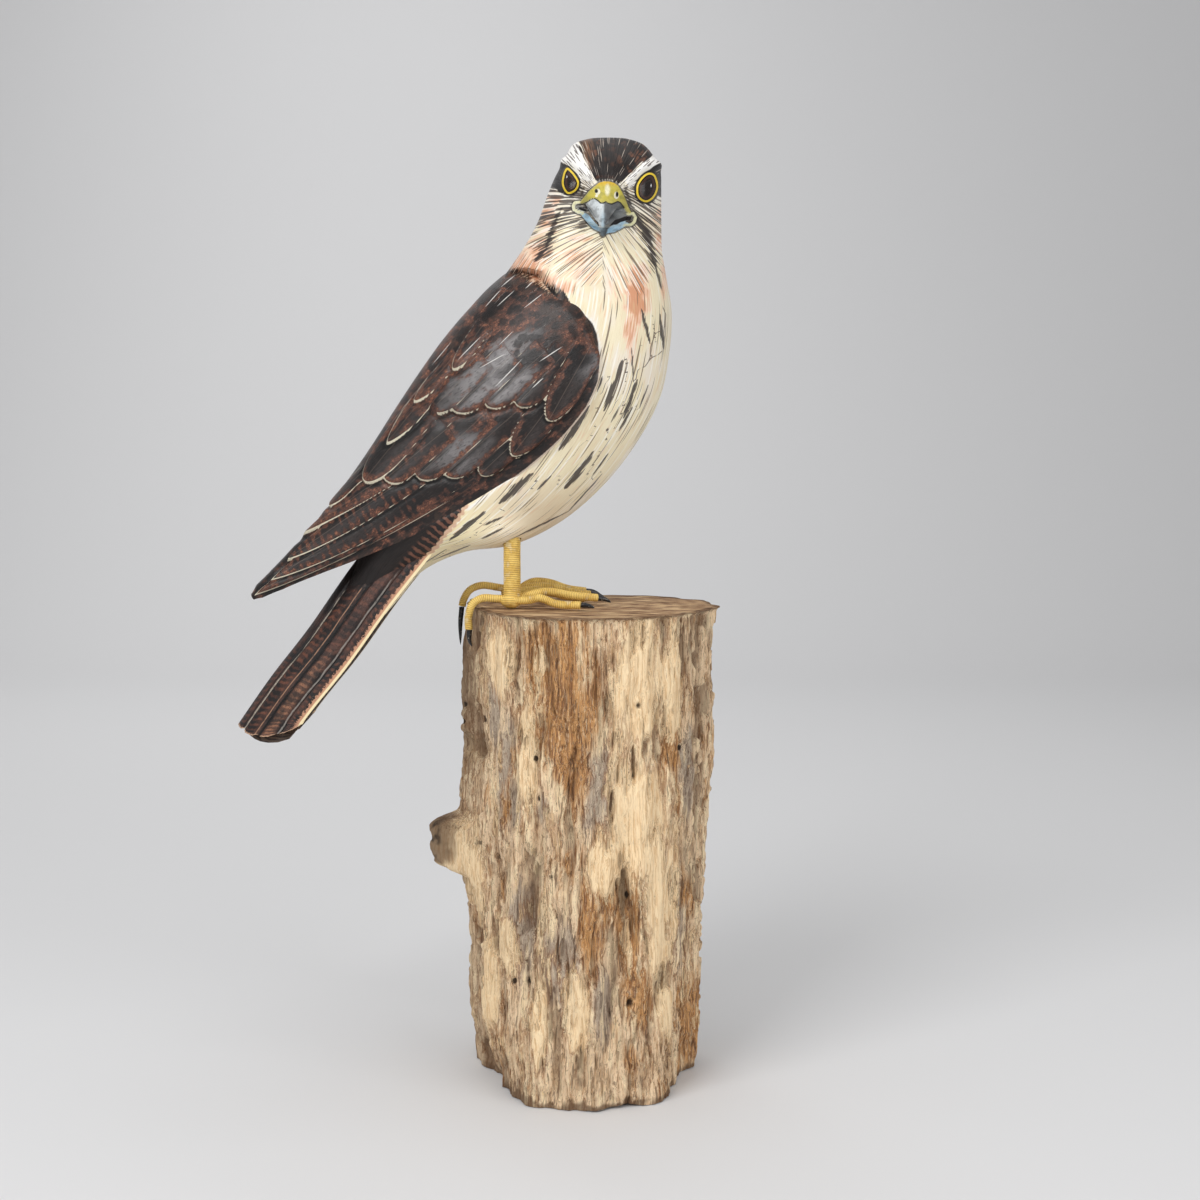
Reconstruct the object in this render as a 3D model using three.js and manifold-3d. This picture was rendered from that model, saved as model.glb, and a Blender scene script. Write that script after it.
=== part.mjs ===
// A carved and painted kestrel standing on a weathered log, on cord-bound wire legs with black claws.
// Millimetres, +Z up. The log stands on z = 0. The bird heads to +X and turns its face to -Y.
// Right and left are the bird's own, so its right side is the -Y side.

import * as THREE from 'three';
import { mergeVertices } from 'three/addons/utils/BufferGeometryUtils.js';
import Module from 'manifold-3d';

const wasm = await Module();
wasm.setup();

// Driving sizes
const POST_HEIGHT = 238;
const BIRD_PLANE = 12;        // the bird's middle plane lies this far behind the post's axis
const GAP = 0.3;              // clearance between pieces that touch
const LEG_RADIUS = 4.3;
const LEG_PLACES = { right: [-40.4, -22], left: [-42.5, 22] };   // x, and y from the middle plane
const LEG_TOP = 277;
const TOE_RADIUS = 2.0;
const CLAW_RADIUS = 1.35;
const FEATHER_LIFT = 1.2;     // how boldly the wing feathers are carved
const TAIL_WIDTH = 19;        // half width of the folded tail
const TAIL_DEPTH = 27.5;      // height of the tail's arch, measured square to its ridge
const TAIL_SETBACK = 32;      // how much sooner the outermost tail feather ends

// Smoothness of the solids
const POST_SIDES = 54;
const POST_LEVELS = [0, 9, 26, 48, 74, 92, 101, 107, 121, 129, 143, 160, 172, 205, POST_HEIGHT];
const BODY_SIDES = 22;
const BODY_LEVELS = 25;
const TUBE_SIDES = 6;
const FEATHER_STEPS = 3;

const vec = (x, y, z) => new THREE.Vector3(x, y, z);
const clamp = THREE.MathUtils.clamp;
const radians = THREE.MathUtils.degToRad;
const smoothstep = THREE.MathUtils.smoothstep;

// Value of a smooth curve through evenly spaced keys, with t from 0 to 1.
function through(keys, t) {
  const place = clamp(t, 0, 1) * (keys.length - 1);
  const i = Math.min(Math.floor(place), keys.length - 2);
  const x = place - i;
  const before = keys[Math.max(i - 1, 0)];
  const after = keys[Math.min(i + 2, keys.length - 1)];
  const rise = keys[i + 1] - before;
  const bend = 2 * before - 5 * keys[i] + 4 * keys[i + 1] - after;
  const twist = 3 * keys[i] - before - 3 * keys[i + 1] + after;
  return 0.5 * (2 * keys[i] + rise * x + bend * x * x + twist * x * x * x);
}

// Value at place p of a smooth curve through rows whose first number is their place.
function atPlace(rows, column, p) {
  const last = rows.length - 1;
  let i = 0;
  while (i < last - 1 && rows[i + 1][0] <= p) i += 1;
  const share = clamp((p - rows[i][0]) / (rows[i + 1][0] - rows[i][0]), 0, 1);
  return through(rows.map((row) => row[column]), (i + share) / last);
}

// A bell of height 1 around zero.
const bell = (distance, width) => Math.exp(-((distance / width) ** 2));

// The same with a flat top.
const blunt = (distance, width) => Math.exp(-((distance / width) ** 4));

// Sign-keeping power, for rounded-square sections.
const rounded = (value, power) => Math.sign(value) * Math.abs(value) ** power;

// Closed body through rings of equal count, with a fan over each end. Its faces are turned outwards.
function bodyOfRings(rings) {
  const count = rings[0].length;
  const points = rings.flat();
  const index = [];
  for (let i = 0; i < rings.length - 1; i += 1) {
    for (let j = 0; j < count; j += 1) {
      const a = i * count + j;
      const b = i * count + ((j + 1) % count);
      index.push(a, b, b + count, a, b + count, a + count);
    }
  }
  const middle = (ring) => ring.reduce((sum, p) => sum.add(p), vec(0, 0, 0)).divideScalar(count);
  const start = points.push(middle(rings[0])) - 1;
  const end = points.push(middle(rings[rings.length - 1])) - 1;
  const lastRing = (rings.length - 1) * count;
  for (let j = 0; j < count; j += 1) {
    const next = (j + 1) % count;
    index.push(start, next, j);
    index.push(end, lastRing + j, lastRing + next);
  }
  return facingOut(points, index);
}

// Geometry of points and triangles, with the triangles turned so that the volume is positive.
function facingOut(points, index) {
  let volume = 0;
  for (let k = 0; k < index.length; k += 3) {
    const [a, b, c] = [points[index[k]], points[index[k + 1]], points[index[k + 2]]];
    volume += a.dot(b.clone().cross(c));
  }
  const turned = volume > 0 ? index : index.slice().reverse();
  const geometry = new THREE.BufferGeometry().setFromPoints(points);
  geometry.setIndex(turned);
  return geometry;
}

// Closed shell between a top and a bottom grid of points, each a list of rows of equal length.
function bodyOfGrids(top, bottom) {
  const rows = top.length;
  const columns = top[0].length;
  const points = [...top.flat(), ...bottom.flat()];
  const shift = rows * columns;
  const index = [];
  const quad = (a, b, c, d) => index.push(a, b, c, a, c, d);
  for (let i = 0; i < rows - 1; i += 1) {
    for (let j = 0; j < columns - 1; j += 1) {
      const a = i * columns + j;
      quad(a, a + 1, a + columns + 1, a + columns);
      quad(shift + a, shift + a + columns, shift + a + columns + 1, shift + a + 1);
    }
  }
  for (let j = 0; j < columns - 1; j += 1) {
    const far = (rows - 1) * columns + j;
    quad(j, shift + j, shift + j + 1, j + 1);
    quad(far, far + 1, shift + far + 1, shift + far);
  }
  for (let i = 0; i < rows - 1; i += 1) {
    const near = i * columns;
    const side = near + columns - 1;
    quad(near, near + columns, shift + near + columns, shift + near);
    quad(side, shift + side, shift + side + columns, side + columns);
  }
  return facingOut(points, index);
}

function solidOf(geometry) {
  const plain = geometry.clone();
  plain.deleteAttribute('normal');
  plain.deleteAttribute('uv');
  const merged = mergeVertices(plain);
  return new wasm.Manifold(new wasm.Mesh({
    numProp: 3,
    vertProperties: new Float32Array(merged.attributes.position.array),
    triVerts: new Uint32Array(merged.index.array),
  }));
}

function geometryOf(solid) {
  const mesh = solid.getMesh();
  const geometry = new THREE.BufferGeometry();
  geometry.setAttribute('position', new THREE.BufferAttribute(new Float32Array(mesh.vertProperties), 3));
  geometry.setIndex(new THREE.BufferAttribute(new Uint32Array(mesh.triVerts), 1));
  return geometry;
}

const joined = (geometries) => geometries.map(solidOf).reduce((whole, piece) => whole.add(piece));

// Round rod along a smooth curve through points.
function rod(points, radius, steps, sides = TUBE_SIDES) {
  const section = new THREE.Shape();
  for (let k = 0; k < sides; k += 1) {
    const angle = (k / sides) * 2 * Math.PI;
    const [x, y] = [radius * Math.cos(angle), radius * Math.sin(angle)];
    if (k === 0) section.moveTo(x, y);
    else section.lineTo(x, y);
  }
  section.closePath();
  const path = new THREE.CatmullRomCurve3(points);
  return new THREE.ExtrudeGeometry(section, { steps, extrudePath: path, bevelEnabled: false });
}

// The log. Its outline is a closed smooth curve, drawn at the top and at the foot.
const POST_TOP_OUTLINE = [
  [63.5, 8], [56, 40], [35, 62], [2, 70], [-34, 73], [-60, 64], [-66, 34], [-60, 2],
  [-52, -24], [-40, -46], [-20, -57], [4, -59], [24, -53], [42, -38], [56, -14],
];
const POST_FOOT_OUTLINE = [
  [53, 10], [49, 34], [32, 52], [2, 60], [-30, 60], [-55, 48], [-65, 28], [-62, 4],
  [-54, -18], [-47, -38], [-28, -54], [-2, -59], [20, -54], [36, -43], [42, -14],
];

// Long splits down the log: angle in degrees from +X, width and depth, and lowest and highest level.
const SPLITS = [
  [236, 5, 5.0, 60, 238], [259, 4, 3.6, 0, 170], [281, 5, 4.2, 30, 200], [306, 5, 4.6, 0, 238],
  [331, 4, 3.2, 40, 238], [22, 6, 4.5, 0, 238], [48, 7, 5.5, 20, 238], [96, 8, 6.5, 0, 238],
  [137, 6, 5.0, 30, 238], [206, 6, 4.0, 0, 200],
];

// The broken branch stub, the notch over it, the swelling of that side and the worn corner at the foot.
const STUB = { angle: 169, height: 115, reach: 13.5, thickness: 12, skirt: 5.5, skirtHeight: 30 };
const NOTCH = { angle: 184, height: 166, depth: 4.5, size: 5 };
const FLANK = { angle: 165, swell: 4.5, low: 112, high: 215 };
const WORN_FOOT = { angle: 195, depth: 7, height: 30 };

function postSurface(turn, level) {
  const share = level / POST_HEIGHT;
  const ring = (outline, axis) => {
    const closed = new THREE.CatmullRomCurve3(outline.map(([x, y]) => vec(x, y, 0)), true);
    return closed.getPoint(turn)[axis];
  };
  const blend = share ** 0.8;
  const x = THREE.MathUtils.lerp(ring(POST_FOOT_OUTLINE, 'x'), ring(POST_TOP_OUTLINE, 'x'), blend);
  const y = THREE.MathUtils.lerp(ring(POST_FOOT_OUTLINE, 'y'), ring(POST_TOP_OUTLINE, 'y'), blend);
  const angle = (THREE.MathUtils.radToDeg(Math.atan2(y, x)) + 360) % 360;
  const away = (other) => Math.abs(((angle - other + 540) % 360) - 180);
  let swell = 1.3 * Math.sin(radians(angle * 11) + level / 55) * Math.sin(level / 47 + 1);
  swell += 0.8 * Math.sin(radians(angle * 23) - level / 38);
  for (const [at, width, depth, low, high] of SPLITS) {
    const run = smoothstep(level, low - 20, low + 20)
      * (1 - smoothstep(level, high - 15, high + 25));
    const sway = 3 * Math.sin(level / 40 + at);
    swell -= depth * run * bell(away(at + sway), width);
  }
  const above = level - STUB.height;
  swell += STUB.reach * bell(away(STUB.angle), 11) * blunt(above, STUB.thickness);
  swell += STUB.skirt * bell(away(STUB.angle), 18) * bell(above, STUB.skirtHeight);
  swell += FLANK.swell * bell(away(FLANK.angle), 34) * smoothstep(level, FLANK.low - 40, FLANK.low + 20)
    * (1 - smoothstep(level, FLANK.high - 6, FLANK.high + 18));
  swell -= WORN_FOOT.depth * bell(away(WORN_FOOT.angle), 34) * (1 - smoothstep(level, 0, WORN_FOOT.height));
  swell -= NOTCH.depth * bell(away(NOTCH.angle), 7) * bell(level - NOTCH.height, NOTCH.size);
  const radius = Math.hypot(x, y);
  const stretch = (radius + swell) / radius;
  return vec(x * stretch, y * stretch, level);
}

function postGeometry() {
  const rings = POST_LEVELS.map((level) => {
    const ring = [];
    for (let j = 0; j < POST_SIDES; j += 1) ring.push(postSurface(j / POST_SIDES, level));
    return ring;
  });
  return bodyOfRings(rings);
}

// Sections of the bird from the rump to the crown: the back point and the front point in the
// bird's middle plane (x, z, x, z), then the half widths on the right and on the left.
const BODY_SECTIONS = [
  [-131, 240, -106, 233, 7, 7], [-126, 248, -98, 242, 12, 12], [-120, 259, -86, 255.6, 17, 17],
  [-116, 272, -65, 265, 22.5, 22.5], [-112, 285, -40, 268.9, 29, 29], [-108, 299, -16.5, 280.3, 34, 34],
  [-102, 315, 4.5, 298.2, 38.5, 38.5], [-95, 330, 21.6, 320, 41.5, 41.5], [-86, 346, 33, 342, 43, 43],
  [-76, 361, 37.6, 364, 43, 43], [-65, 376, 38.8, 384, 41, 41], [-54.5, 389.5, 36, 402, 37.5, 38],
  [-44.5, 402.5, 33.8, 415, 34, 35], [-35, 416, 33.4, 427, 31.5, 33], [-28, 428.5, 33.4, 437, 30, 32],
  [-23.5, 440.5, 33.5, 446, 29.5, 31], [-19, 451.5, 33, 454, 27, 30], [-14, 460.5, 29.5, 461, 21.5, 26],
  [-10.5, 466.5, 24.5, 466.5, 15, 19], [-3, 469.4, 17, 469.4, 6, 8],
];

function bodySection(t) {
  const value = (column) => through(BODY_SECTIONS.map((row) => row[column]), t);
  const back = vec(value(0), 0, value(1));
  const front = vec(value(2), 0, value(3));
  const middle = back.clone().add(front).multiplyScalar(0.5);
  const half = front.clone().sub(back).multiplyScalar(0.5);
  const ring = [];
  for (let j = 0; j < BODY_SIDES; j += 1) {
    const angle = (j / BODY_SIDES) * 2 * Math.PI;
    const across = rounded(Math.sin(angle), 0.92);
    const width = across < 0 ? value(4) : value(5);
    const point = middle.clone().addScaledVector(half, rounded(Math.cos(angle), 0.92));
    point.y = across * width;
    ring.push(point);
  }
  return ring;
}

function bodyGeometry() {
  const rings = [];
  for (let i = 0; i <= BODY_LEVELS; i += 1) rings.push(bodySection(i / BODY_LEVELS));
  return bodyOfRings(rings);
}

// The folded wings, seen square to the side. s runs from the shoulder to the tip, q from there
// towards the back. Rows hold s, q of the back ridge, q of the lower edge, the bulge, and the depth.
const WING_ORIGIN = [2.1, 366.5];
const WING_PITCH = radians(35.55);
const WING_TURN = radians(110);
const WING_LENGTH = 213.5;
const WING_ROWS = [
  [-6, 28, 14, 30, 10], [-3, 37, 8, 40, 12], [2, 47, -4, 45, 14], [10, 56, -14.5, 46, 16],
  [22, 57, -21.5, 46.5, 18], [40, 54, -26.3, 45, 18], [60, 49.2, -28.3, 42.5, 18],
  [80, 42.6, -28.3, 39, 18], [100, 35.2, -26.8, 35, 20], [120, 27.4, -23.6, 31, 24],
  [140, 20.4, -19.6, 26.5, 20], [160, 14.6, -15, 21.5, 20], [180, 9.8, -9.9, 16.5, 6.5],
  [198, 5.6, -5.6, 12, 4.5], [209, 3.2, -2.4, 9, 3], [WING_LENGTH, 1.9, -1, 7.5, 1.6],
];

// Point of a wing's face at s and q, lifted by a height; side is -1 for the right wing.
function wingFace(s, q, lift, side) {
  const top = atPlace(WING_ROWS, 1, s);
  const low = atPlace(WING_ROWS, 2, s);
  const bulge = atPlace(WING_ROWS, 3, s);
  const level = clamp(q, low, top);
  const share = (top - level) / (top - low);
  const angle = Math.acos(clamp(1 - share * (1 - Math.cos(WING_TURN)), -1, 1));
  const parting = THREE.MathUtils.lerp(-1, 1.6, smoothstep(s, 165, 205));
  const upward = Math.cos(angle) * lift;
  const outward = parting + Math.sin(angle) * (bulge + lift);
  return wingPoint(s, level + upward, outward, side);
}

function wingPoint(s, q, outward, side) {
  const x = WING_ORIGIN[0] - s * Math.cos(WING_PITCH) - q * Math.sin(WING_PITCH);
  const z = WING_ORIGIN[1] - s * Math.sin(WING_PITCH) + q * Math.cos(WING_PITCH);
  return vec(x, side * outward, z);
}

function wingGeometry(side) {
  const outerSteps = 7;
  const innerSteps = 4;
  const rings = WING_ROWS.map(([s, top, low, , depth]) => {
    const ring = [];
    for (let j = 0; j <= outerSteps; j += 1) {
      const angle = (WING_TURN * j) / outerSteps;
      const share = (1 - Math.cos(angle)) / (1 - Math.cos(WING_TURN));
      ring.push(wingFace(s, top + (low - top) * share, 0, side));
    }
    for (let j = innerSteps; j >= 0; j -= 1) {
      const angle = (WING_TURN * j) / innerSteps;
      const share = (1 - Math.cos(angle)) / (1 - Math.cos(WING_TURN));
      const inner = wingFace(s, top + (low - top) * share, -depth, side);
      inner.y = side * Math.max(side * inner.y, s > 170 ? 0.8 : -1);
      ring.push(inner);
    }
    return ring;
  });
  return bodyOfRings(rings);
}

// Carved feathers: s and q of the root, s and q of the tip, width, and height over the wing.
const SCAPULARS = [[46, 44, 90, 31, 12, 2.6], [58, 35, 114, 21.5, 14, 2.3], [76, 25, 135, 11.5, 17, 2.0]];
const MEDIAN_COVERTS = [
  [38, 29, 85, 18.5, 12, 1.9], [28, 21, 72, 11, 13, 1.9], [16, 13, 58, 2, 14, 1.9],
  [10, 5, 46, -5.5, 12, 1.9], [6, -4, 41.5, -18.5, 12, 2.0],
];
const GREATER_COVERTS = [
  [70, 12, 121, 2, 12, 1.5], [58, 6, 106, -6, 12, 1.5], [48, -3, 92, -14.3, 12, 1.5],
  [40, -10, 78, -22.5, 11, 1.4], [30, -12, 66, -22, 12, 1.7],
];
const FLIGHT_FEATHERS = [
  [104, 24, 156, 14, 9, 1.6], [98, 15, 174, 9.6, 13, 1.4], [92, 5, 189, 4.4, 13, 1.1],
  [88, -7, 201, 0.8, 13, 0.8],
];
const FEATHERS = [...SCAPULARS, ...MEDIAN_COVERTS, ...GREATER_COVERTS, ...FLIGHT_FEATHERS];

function featherGeometry([s0, q0, s1, q1, width, height], side) {
  const alongSteps = FEATHER_STEPS;
  const acrossSteps = 2;
  const length = Math.hypot(s1 - s0, q1 - q0);
  const along = [(s1 - s0) / length, (q1 - q0) / length];
  const roundTip = Math.min(0.95 * width, 0.5 * length);
  const grid = (lifted) => {
    const rows = [];
    for (let i = 0; i <= alongSteps; i += 1) {
      const u = Math.sin((i / alongSteps) * (Math.PI / 2));
      const beyond = clamp(1 - ((1 - u) * length) / roundTip, 0, 1);
      const half = (width / 2) * Math.max(Math.sqrt(1 - beyond ** 2), 0.16);
      const row = [];
      for (let j = 0; j <= acrossSteps; j += 1) {
        const v = (2 * j) / acrossSteps - 1;
        const s = s0 + along[0] * u * length - along[1] * v * half;
        const q = q0 + along[1] * u * length + along[0] * v * half;
        const crown = FEATHER_LIFT * height * Math.min(1, 0.15 + 1.4 * u) * (1 - 0.45 * v ** 2);
        row.push(wingFace(s, q, lifted ? crown : -1.2, side));
      }
      rows.push(row);
    }
    return rows;
  };
  return bodyOfGrids(grid(true), grid(false));
}

// The folded tail: an arched fan of long feathers under a ridge, hollowed a little beneath.
const TAIL_RIDGE = [[-101, 286], [-124, 256.6], [-145, 226.8], [-164.6, 201.8], [-182.2, 176.9]];
const TAIL_FEATHERS = [0, 0.17, 0.4, 0.63, 1];     // feather edges from ridge to rim, as shares

function tailPoint(t, share, side, inset) {
  const x = through(TAIL_RIDGE.map((p) => p[0]), t);
  const z = through(TAIL_RIDGE.map((p) => p[1]), t);
  const slope = radians(53.5);
  const angle = share * radians(78);
  const fullness = (1 - Math.cos(angle)) / (1 - Math.cos(radians(78)));
  const drop = 0.35 * share + 0.65 * fullness;
  const outward = (TAIL_WIDTH * Math.sin(angle)) / Math.sin(radians(78));
  const depth = (TAIL_DEPTH + 2 * (1 - t)) * drop + inset;
  const setback = TAIL_SETBACK * share ** 3 * smoothstep(t, 0.72, 1);
  return vec(
    x + depth * Math.sin(slope) + setback * Math.cos(slope),
    side * Math.max(outward - inset * 0.45, 0),
    z - depth * Math.cos(slope) + setback * Math.sin(slope),
  );
}

function tailGeometry() {
  const shares = [];
  for (let k = 0; k < TAIL_FEATHERS.length - 1; k += 1) {
    const [from, to] = [TAIL_FEATHERS[k], TAIL_FEATHERS[k + 1]];
    shares.push([from, 0], [from * 0.35 + to * 0.65, 0], [to - 0.012, 0.2]);
    if (k < TAIL_FEATHERS.length - 2) shares.push([to, 1.3]);
  }
  const underside = [0.86, 0.6, 0.3];
  const steps = 9;
  const rings = [];
  for (let i = 0; i <= steps; i += 1) {
    const t = i / steps;
    const right = shares.map(([share, inset]) => tailPoint(t, share, -1, inset));
    const left = shares.map(([share, inset]) => tailPoint(t, share, 1, inset));
    const underRight = underside.map((share) => tailPoint(t, share, -1, 5.5));
    const underLeft = underside.map((share) => tailPoint(t, share, 1, 5.5));
    const underRidge = tailPoint(t, 0, 1, 6);
    rings.push([...right, ...underRight, underRidge, ...underLeft.reverse(), ...left.reverse().slice(0, -1)]);
  }
  return bodyOfRings(rings);
}

// Rings across a bent centre line in the beak's middle plane: y, z, half width, rise and fall.
const BEAK_MIDDLE = 6.3;
const UPPER_BEAK = [
  [-18, 437, 15, 12, 8], [-26, 438, 14, 11, 7.5], [-33, 437.5, 11.5, 9.5, 7], [-39, 434, 8.3, 7.5, 6],
  [-43, 429, 5, 5, 4.5], [-44.6, 424.8, 2.6, 2.8, 2.6], [-44.8, 421.6, 0.8, 0.9, 0.9],
];
const LOWER_BEAK = [[-18, 431, 12.5, 5, 5], [-28, 428.6, 11.5, 4, 4.4], [-36, 426, 8, 3, 3.4], [-41, 424.5, 3, 2, 1.6]];

function beakGeometry(stations, lean) {
  const sides = 12;
  const rings = stations.map(([y, z, half, rise, fall], i) => {
    const before = stations[Math.max(i - 1, 0)];
    const after = stations[Math.min(i + 1, stations.length - 1)];
    const heading = Math.atan2(after[1] - before[1], -(after[0] - before[0]));
    const ring = [];
    for (let j = 0; j < sides; j += 1) {
      const angle = (j / sides) * 2 * Math.PI;
      const up = Math.sin(angle) * (Math.sin(angle) > 0 ? rise : fall);
      const across = rounded(Math.cos(angle), 1.25) * half;
      const x = BEAK_MIDDLE + across + lean * (y + 18);
      ring.push(vec(x, y + up * Math.sin(heading), z + up * Math.cos(heading)));
    }
    return ring;
  });
  return bodyOfRings(rings);
}

// A low swelling on the head, for an eye or a brow.
function swelling(place, size, roll) {
  const geometry = new THREE.SphereGeometry(1, 10, 6);
  geometry.scale(...size);
  geometry.rotateY(roll);
  geometry.translate(...place);
  return geometry;
}

const EYES = [
  { place: [-11.4, -21.6, 447.6], size: [4.6, 4.2, 6.6], roll: radians(6) },
  { place: [25.4, -20.2, 445.2], size: [5.6, 4.6, 7.2], roll: radians(-12) },
];
const BROWS = [
  { place: [-8.5, -18.5, 454.8], size: [8, 5.5, 2.8], roll: radians(34) },
  { place: [21.5, -18, 453.4], size: [8, 5.5, 2.8], roll: radians(-38) },
];

function legSocket([x, y]) {
  const socket = new THREE.CylinderGeometry(LEG_RADIUS + GAP, LEG_RADIUS + GAP, 30, 16);
  socket.rotateX(Math.PI / 2);
  socket.translate(x, y, LEG_TOP + GAP - 15);
  return socket;
}

function birdGeometry() {
  const pieces = [bodyGeometry(), tailGeometry()];
  for (const side of [-1, 1]) {
    pieces.push(wingGeometry(side));
    for (const feather of FEATHERS) pieces.push(featherGeometry(feather, side));
  }
  pieces.push(beakGeometry(UPPER_BEAK, 0.075), beakGeometry(LOWER_BEAK, 0.075));
  for (const { place, size, roll } of [...EYES, ...BROWS]) pieces.push(swelling(place, size, roll));
  let bird = joined(pieces);
  for (const place of Object.values(LEG_PLACES)) bird = bird.subtract(solidOf(legSocket(place)));
  return geometryOf(bird);
}

// Toes of each foot, as points in the bird's frame from the ankle out to where the claw begins,
// followed by the claw's own points.
const RIGHT_FOOT = {
  back: {
    toe: [[-42, -22, 242.6], [-49, -22.5, 243.2], [-55.5, -23, 243.3], [-60, -23, 240.4], [-62, -23, 234.5], [-61.9, -23, 227.9]],
    claw: [[-61.6, -23, 227.5], [-61.6, -23, 222.5], [-60.4, -23, 219.4]],
  },
  outer: {
    toe: [[-40, -24, 242.4], [-32, -27.5, 242.8], [-26.8, -29, 244], [-18, -31, 241.2], [-6.4, -33, 240.8]],
    claw: [[-6, -33, 240.9], [-3, -33.5, 240.6], [0.4, -34, 239.7]],
  },
  middle: {
    toe: [[-40, -21, 243], [-30, -18.5, 245], [-23, -17, 246.2], [-12, -13, 244], [1.5, -8, 242.2]],
    claw: [[1.9, -8, 242.1], [5.4, -7, 241.4], [8.6, -6.4, 239.7]],
  },
  inner: {
    toe: [[-40, -19, 243.4], [-30, -12, 245.2], [-22, -7, 244.8], [-14, -3, 242.6], [-5, 1, 241]],
    claw: [[-4.6, 1.2, 241], [-1.6, 2.4, 240.8], [1.4, 3.6, 239.7]],
  },
};
const LEFT_FOOT = {
  back: {
    toe: [[-42, 22, 243.6], [-50, 22, 245], [-58.5, 22, 246], [-64.5, 22, 243.6], [-67.9, 22, 238.4], [-68.6, 22, 235.2]],
    claw: [[-68.8, 22, 234.8], [-69.6, 22, 226], [-69.6, 22, 215]],
  },
  outer: {
    toe: [[-40, 24, 243.4], [-32, 29, 247.4], [-24, 32, 246.8], [-14, 36, 243.2], [-5, 40, 241.6]],
    claw: [[-4.6, 40, 241.6], [-0.8, 40.6, 241.2], [3.4, 41, 239.7]],
  },
  middle: {
    toe: [[-40, 22, 243.4], [-31, 22, 245.6], [-22, 23, 245], [-12, 24.5, 242.4], [-2, 26, 241]],
    claw: [[-1.6, 26, 241], [1.8, 26.6, 240.8], [5, 27, 239.7]],
  },
  inner: {
    toe: [[-40, 20, 243.2], [-31, 15.5, 244.2], [-22, 12, 243], [-10, 9.6, 241]],
    claw: [[-9.6, 9.6, 241], [-6.4, 9.4, 240.8], [-3.2, 9.2, 239.7]],
  },
};
const points = (list) => list.map(([x, y, z]) => vec(x, y, z));

function legGeometry(foot, [x, y]) {
  const shank = new THREE.CylinderGeometry(LEG_RADIUS, LEG_RADIUS, LEG_TOP - POST_HEIGHT - 2, 12);
  shank.rotateX(Math.PI / 2);
  shank.translate(x, y, (LEG_TOP + POST_HEIGHT + 2) / 2);
  const ankle = new THREE.SphereGeometry(1, 12, 6);
  ankle.scale(5.4, 5.4, 3.6);
  ankle.translate(x - 0.6, y, POST_HEIGHT + GAP + 3.6);
  const toes = Object.values(foot).map(({ toe }) => rod(points(toe), TOE_RADIUS, 5));
  return geometryOf(joined([shank, ankle, ...toes]));
}

// A claw narrows from the toe's end to its tip.
function clawGeometry(route) {
  const path = new THREE.CatmullRomCurve3(points(route));
  const steps = 2;
  const rings = [];
  for (let i = 0; i <= steps; i += 1) {
    const t = i / steps;
    const middle = path.getPoint(t);
    const ahead = path.getTangent(t);
    const sideways = vec(0, 1, 0).addScaledVector(ahead, -ahead.y).normalize();
    const upwards = ahead.clone().cross(sideways);
    const radius = CLAW_RADIUS * (1 - 0.75 * t ** 2);
    const ring = [];
    for (let j = 0; j < TUBE_SIDES; j += 1) {
      const angle = (j / TUBE_SIDES) * 2 * Math.PI;
      const around = middle.clone().addScaledVector(sideways, radius * Math.cos(angle));
      ring.push(around.addScaledVector(upwards, radius * Math.sin(angle)));
    }
    rings.push(ring);
  }
  return bodyOfRings(rings);
}

const weatheredWood = new THREE.MeshStandardMaterial({ color: '#a98c66', roughness: 0.85, metalness: 0 });
const paintedWood = new THREE.MeshStandardMaterial({ color: '#6b5242', roughness: 0.5, metalness: 0 });
const yellowCord = new THREE.MeshStandardMaterial({ color: '#d9b24c', roughness: 0.7, metalness: 0 });
const blackPaint = new THREE.MeshStandardMaterial({ color: '#26262a', roughness: 0.4, metalness: 0 });

function named(name, geometry, material) {
  const mesh = new THREE.Mesh(geometry, material);
  mesh.name = name;
  return mesh;
}

const kestrel = new THREE.Group();
kestrel.position.set(0, BIRD_PLANE, 0);
kestrel.add(named('bird', birdGeometry(), paintedWood));
for (const [name, foot] of [['right', RIGHT_FOOT], ['left', LEFT_FOOT]]) {
  kestrel.add(named(`${name}_leg`, legGeometry(foot, LEG_PLACES[name]), yellowCord));
  for (const [toe, { claw }] of Object.entries(foot)) {
    kestrel.add(named(`${name}_${toe}_claw`, clawGeometry(claw), blackPaint));
  }
}

const model = new THREE.Group();
model.add(named('post', postGeometry(), weatheredWood));
model.add(kestrel);

export default model;
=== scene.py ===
import itertools
import math

import bpy
import numpy as np
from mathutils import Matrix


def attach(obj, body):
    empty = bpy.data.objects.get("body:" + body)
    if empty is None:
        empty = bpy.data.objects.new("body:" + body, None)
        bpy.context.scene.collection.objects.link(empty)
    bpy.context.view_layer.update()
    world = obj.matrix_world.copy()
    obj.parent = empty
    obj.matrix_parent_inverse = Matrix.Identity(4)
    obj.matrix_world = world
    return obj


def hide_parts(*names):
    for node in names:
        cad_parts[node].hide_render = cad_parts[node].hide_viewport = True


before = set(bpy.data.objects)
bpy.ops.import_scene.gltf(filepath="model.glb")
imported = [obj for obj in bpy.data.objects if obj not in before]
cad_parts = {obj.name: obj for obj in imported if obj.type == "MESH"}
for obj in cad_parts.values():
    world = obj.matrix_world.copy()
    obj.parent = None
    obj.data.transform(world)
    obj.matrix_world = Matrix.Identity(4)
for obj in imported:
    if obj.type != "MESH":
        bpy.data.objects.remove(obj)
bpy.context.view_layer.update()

# Lengths are millimetres, except in the studio. The log stands on z = 0 and +Z is up. The bird heads to
# +X and its face looks to -Y. Its own coordinates count y from its middle plane.
MM = 0.001
POST_HEIGHT = 238
BIRD_PLANE = 12                 # y of the bird's middle plane
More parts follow.
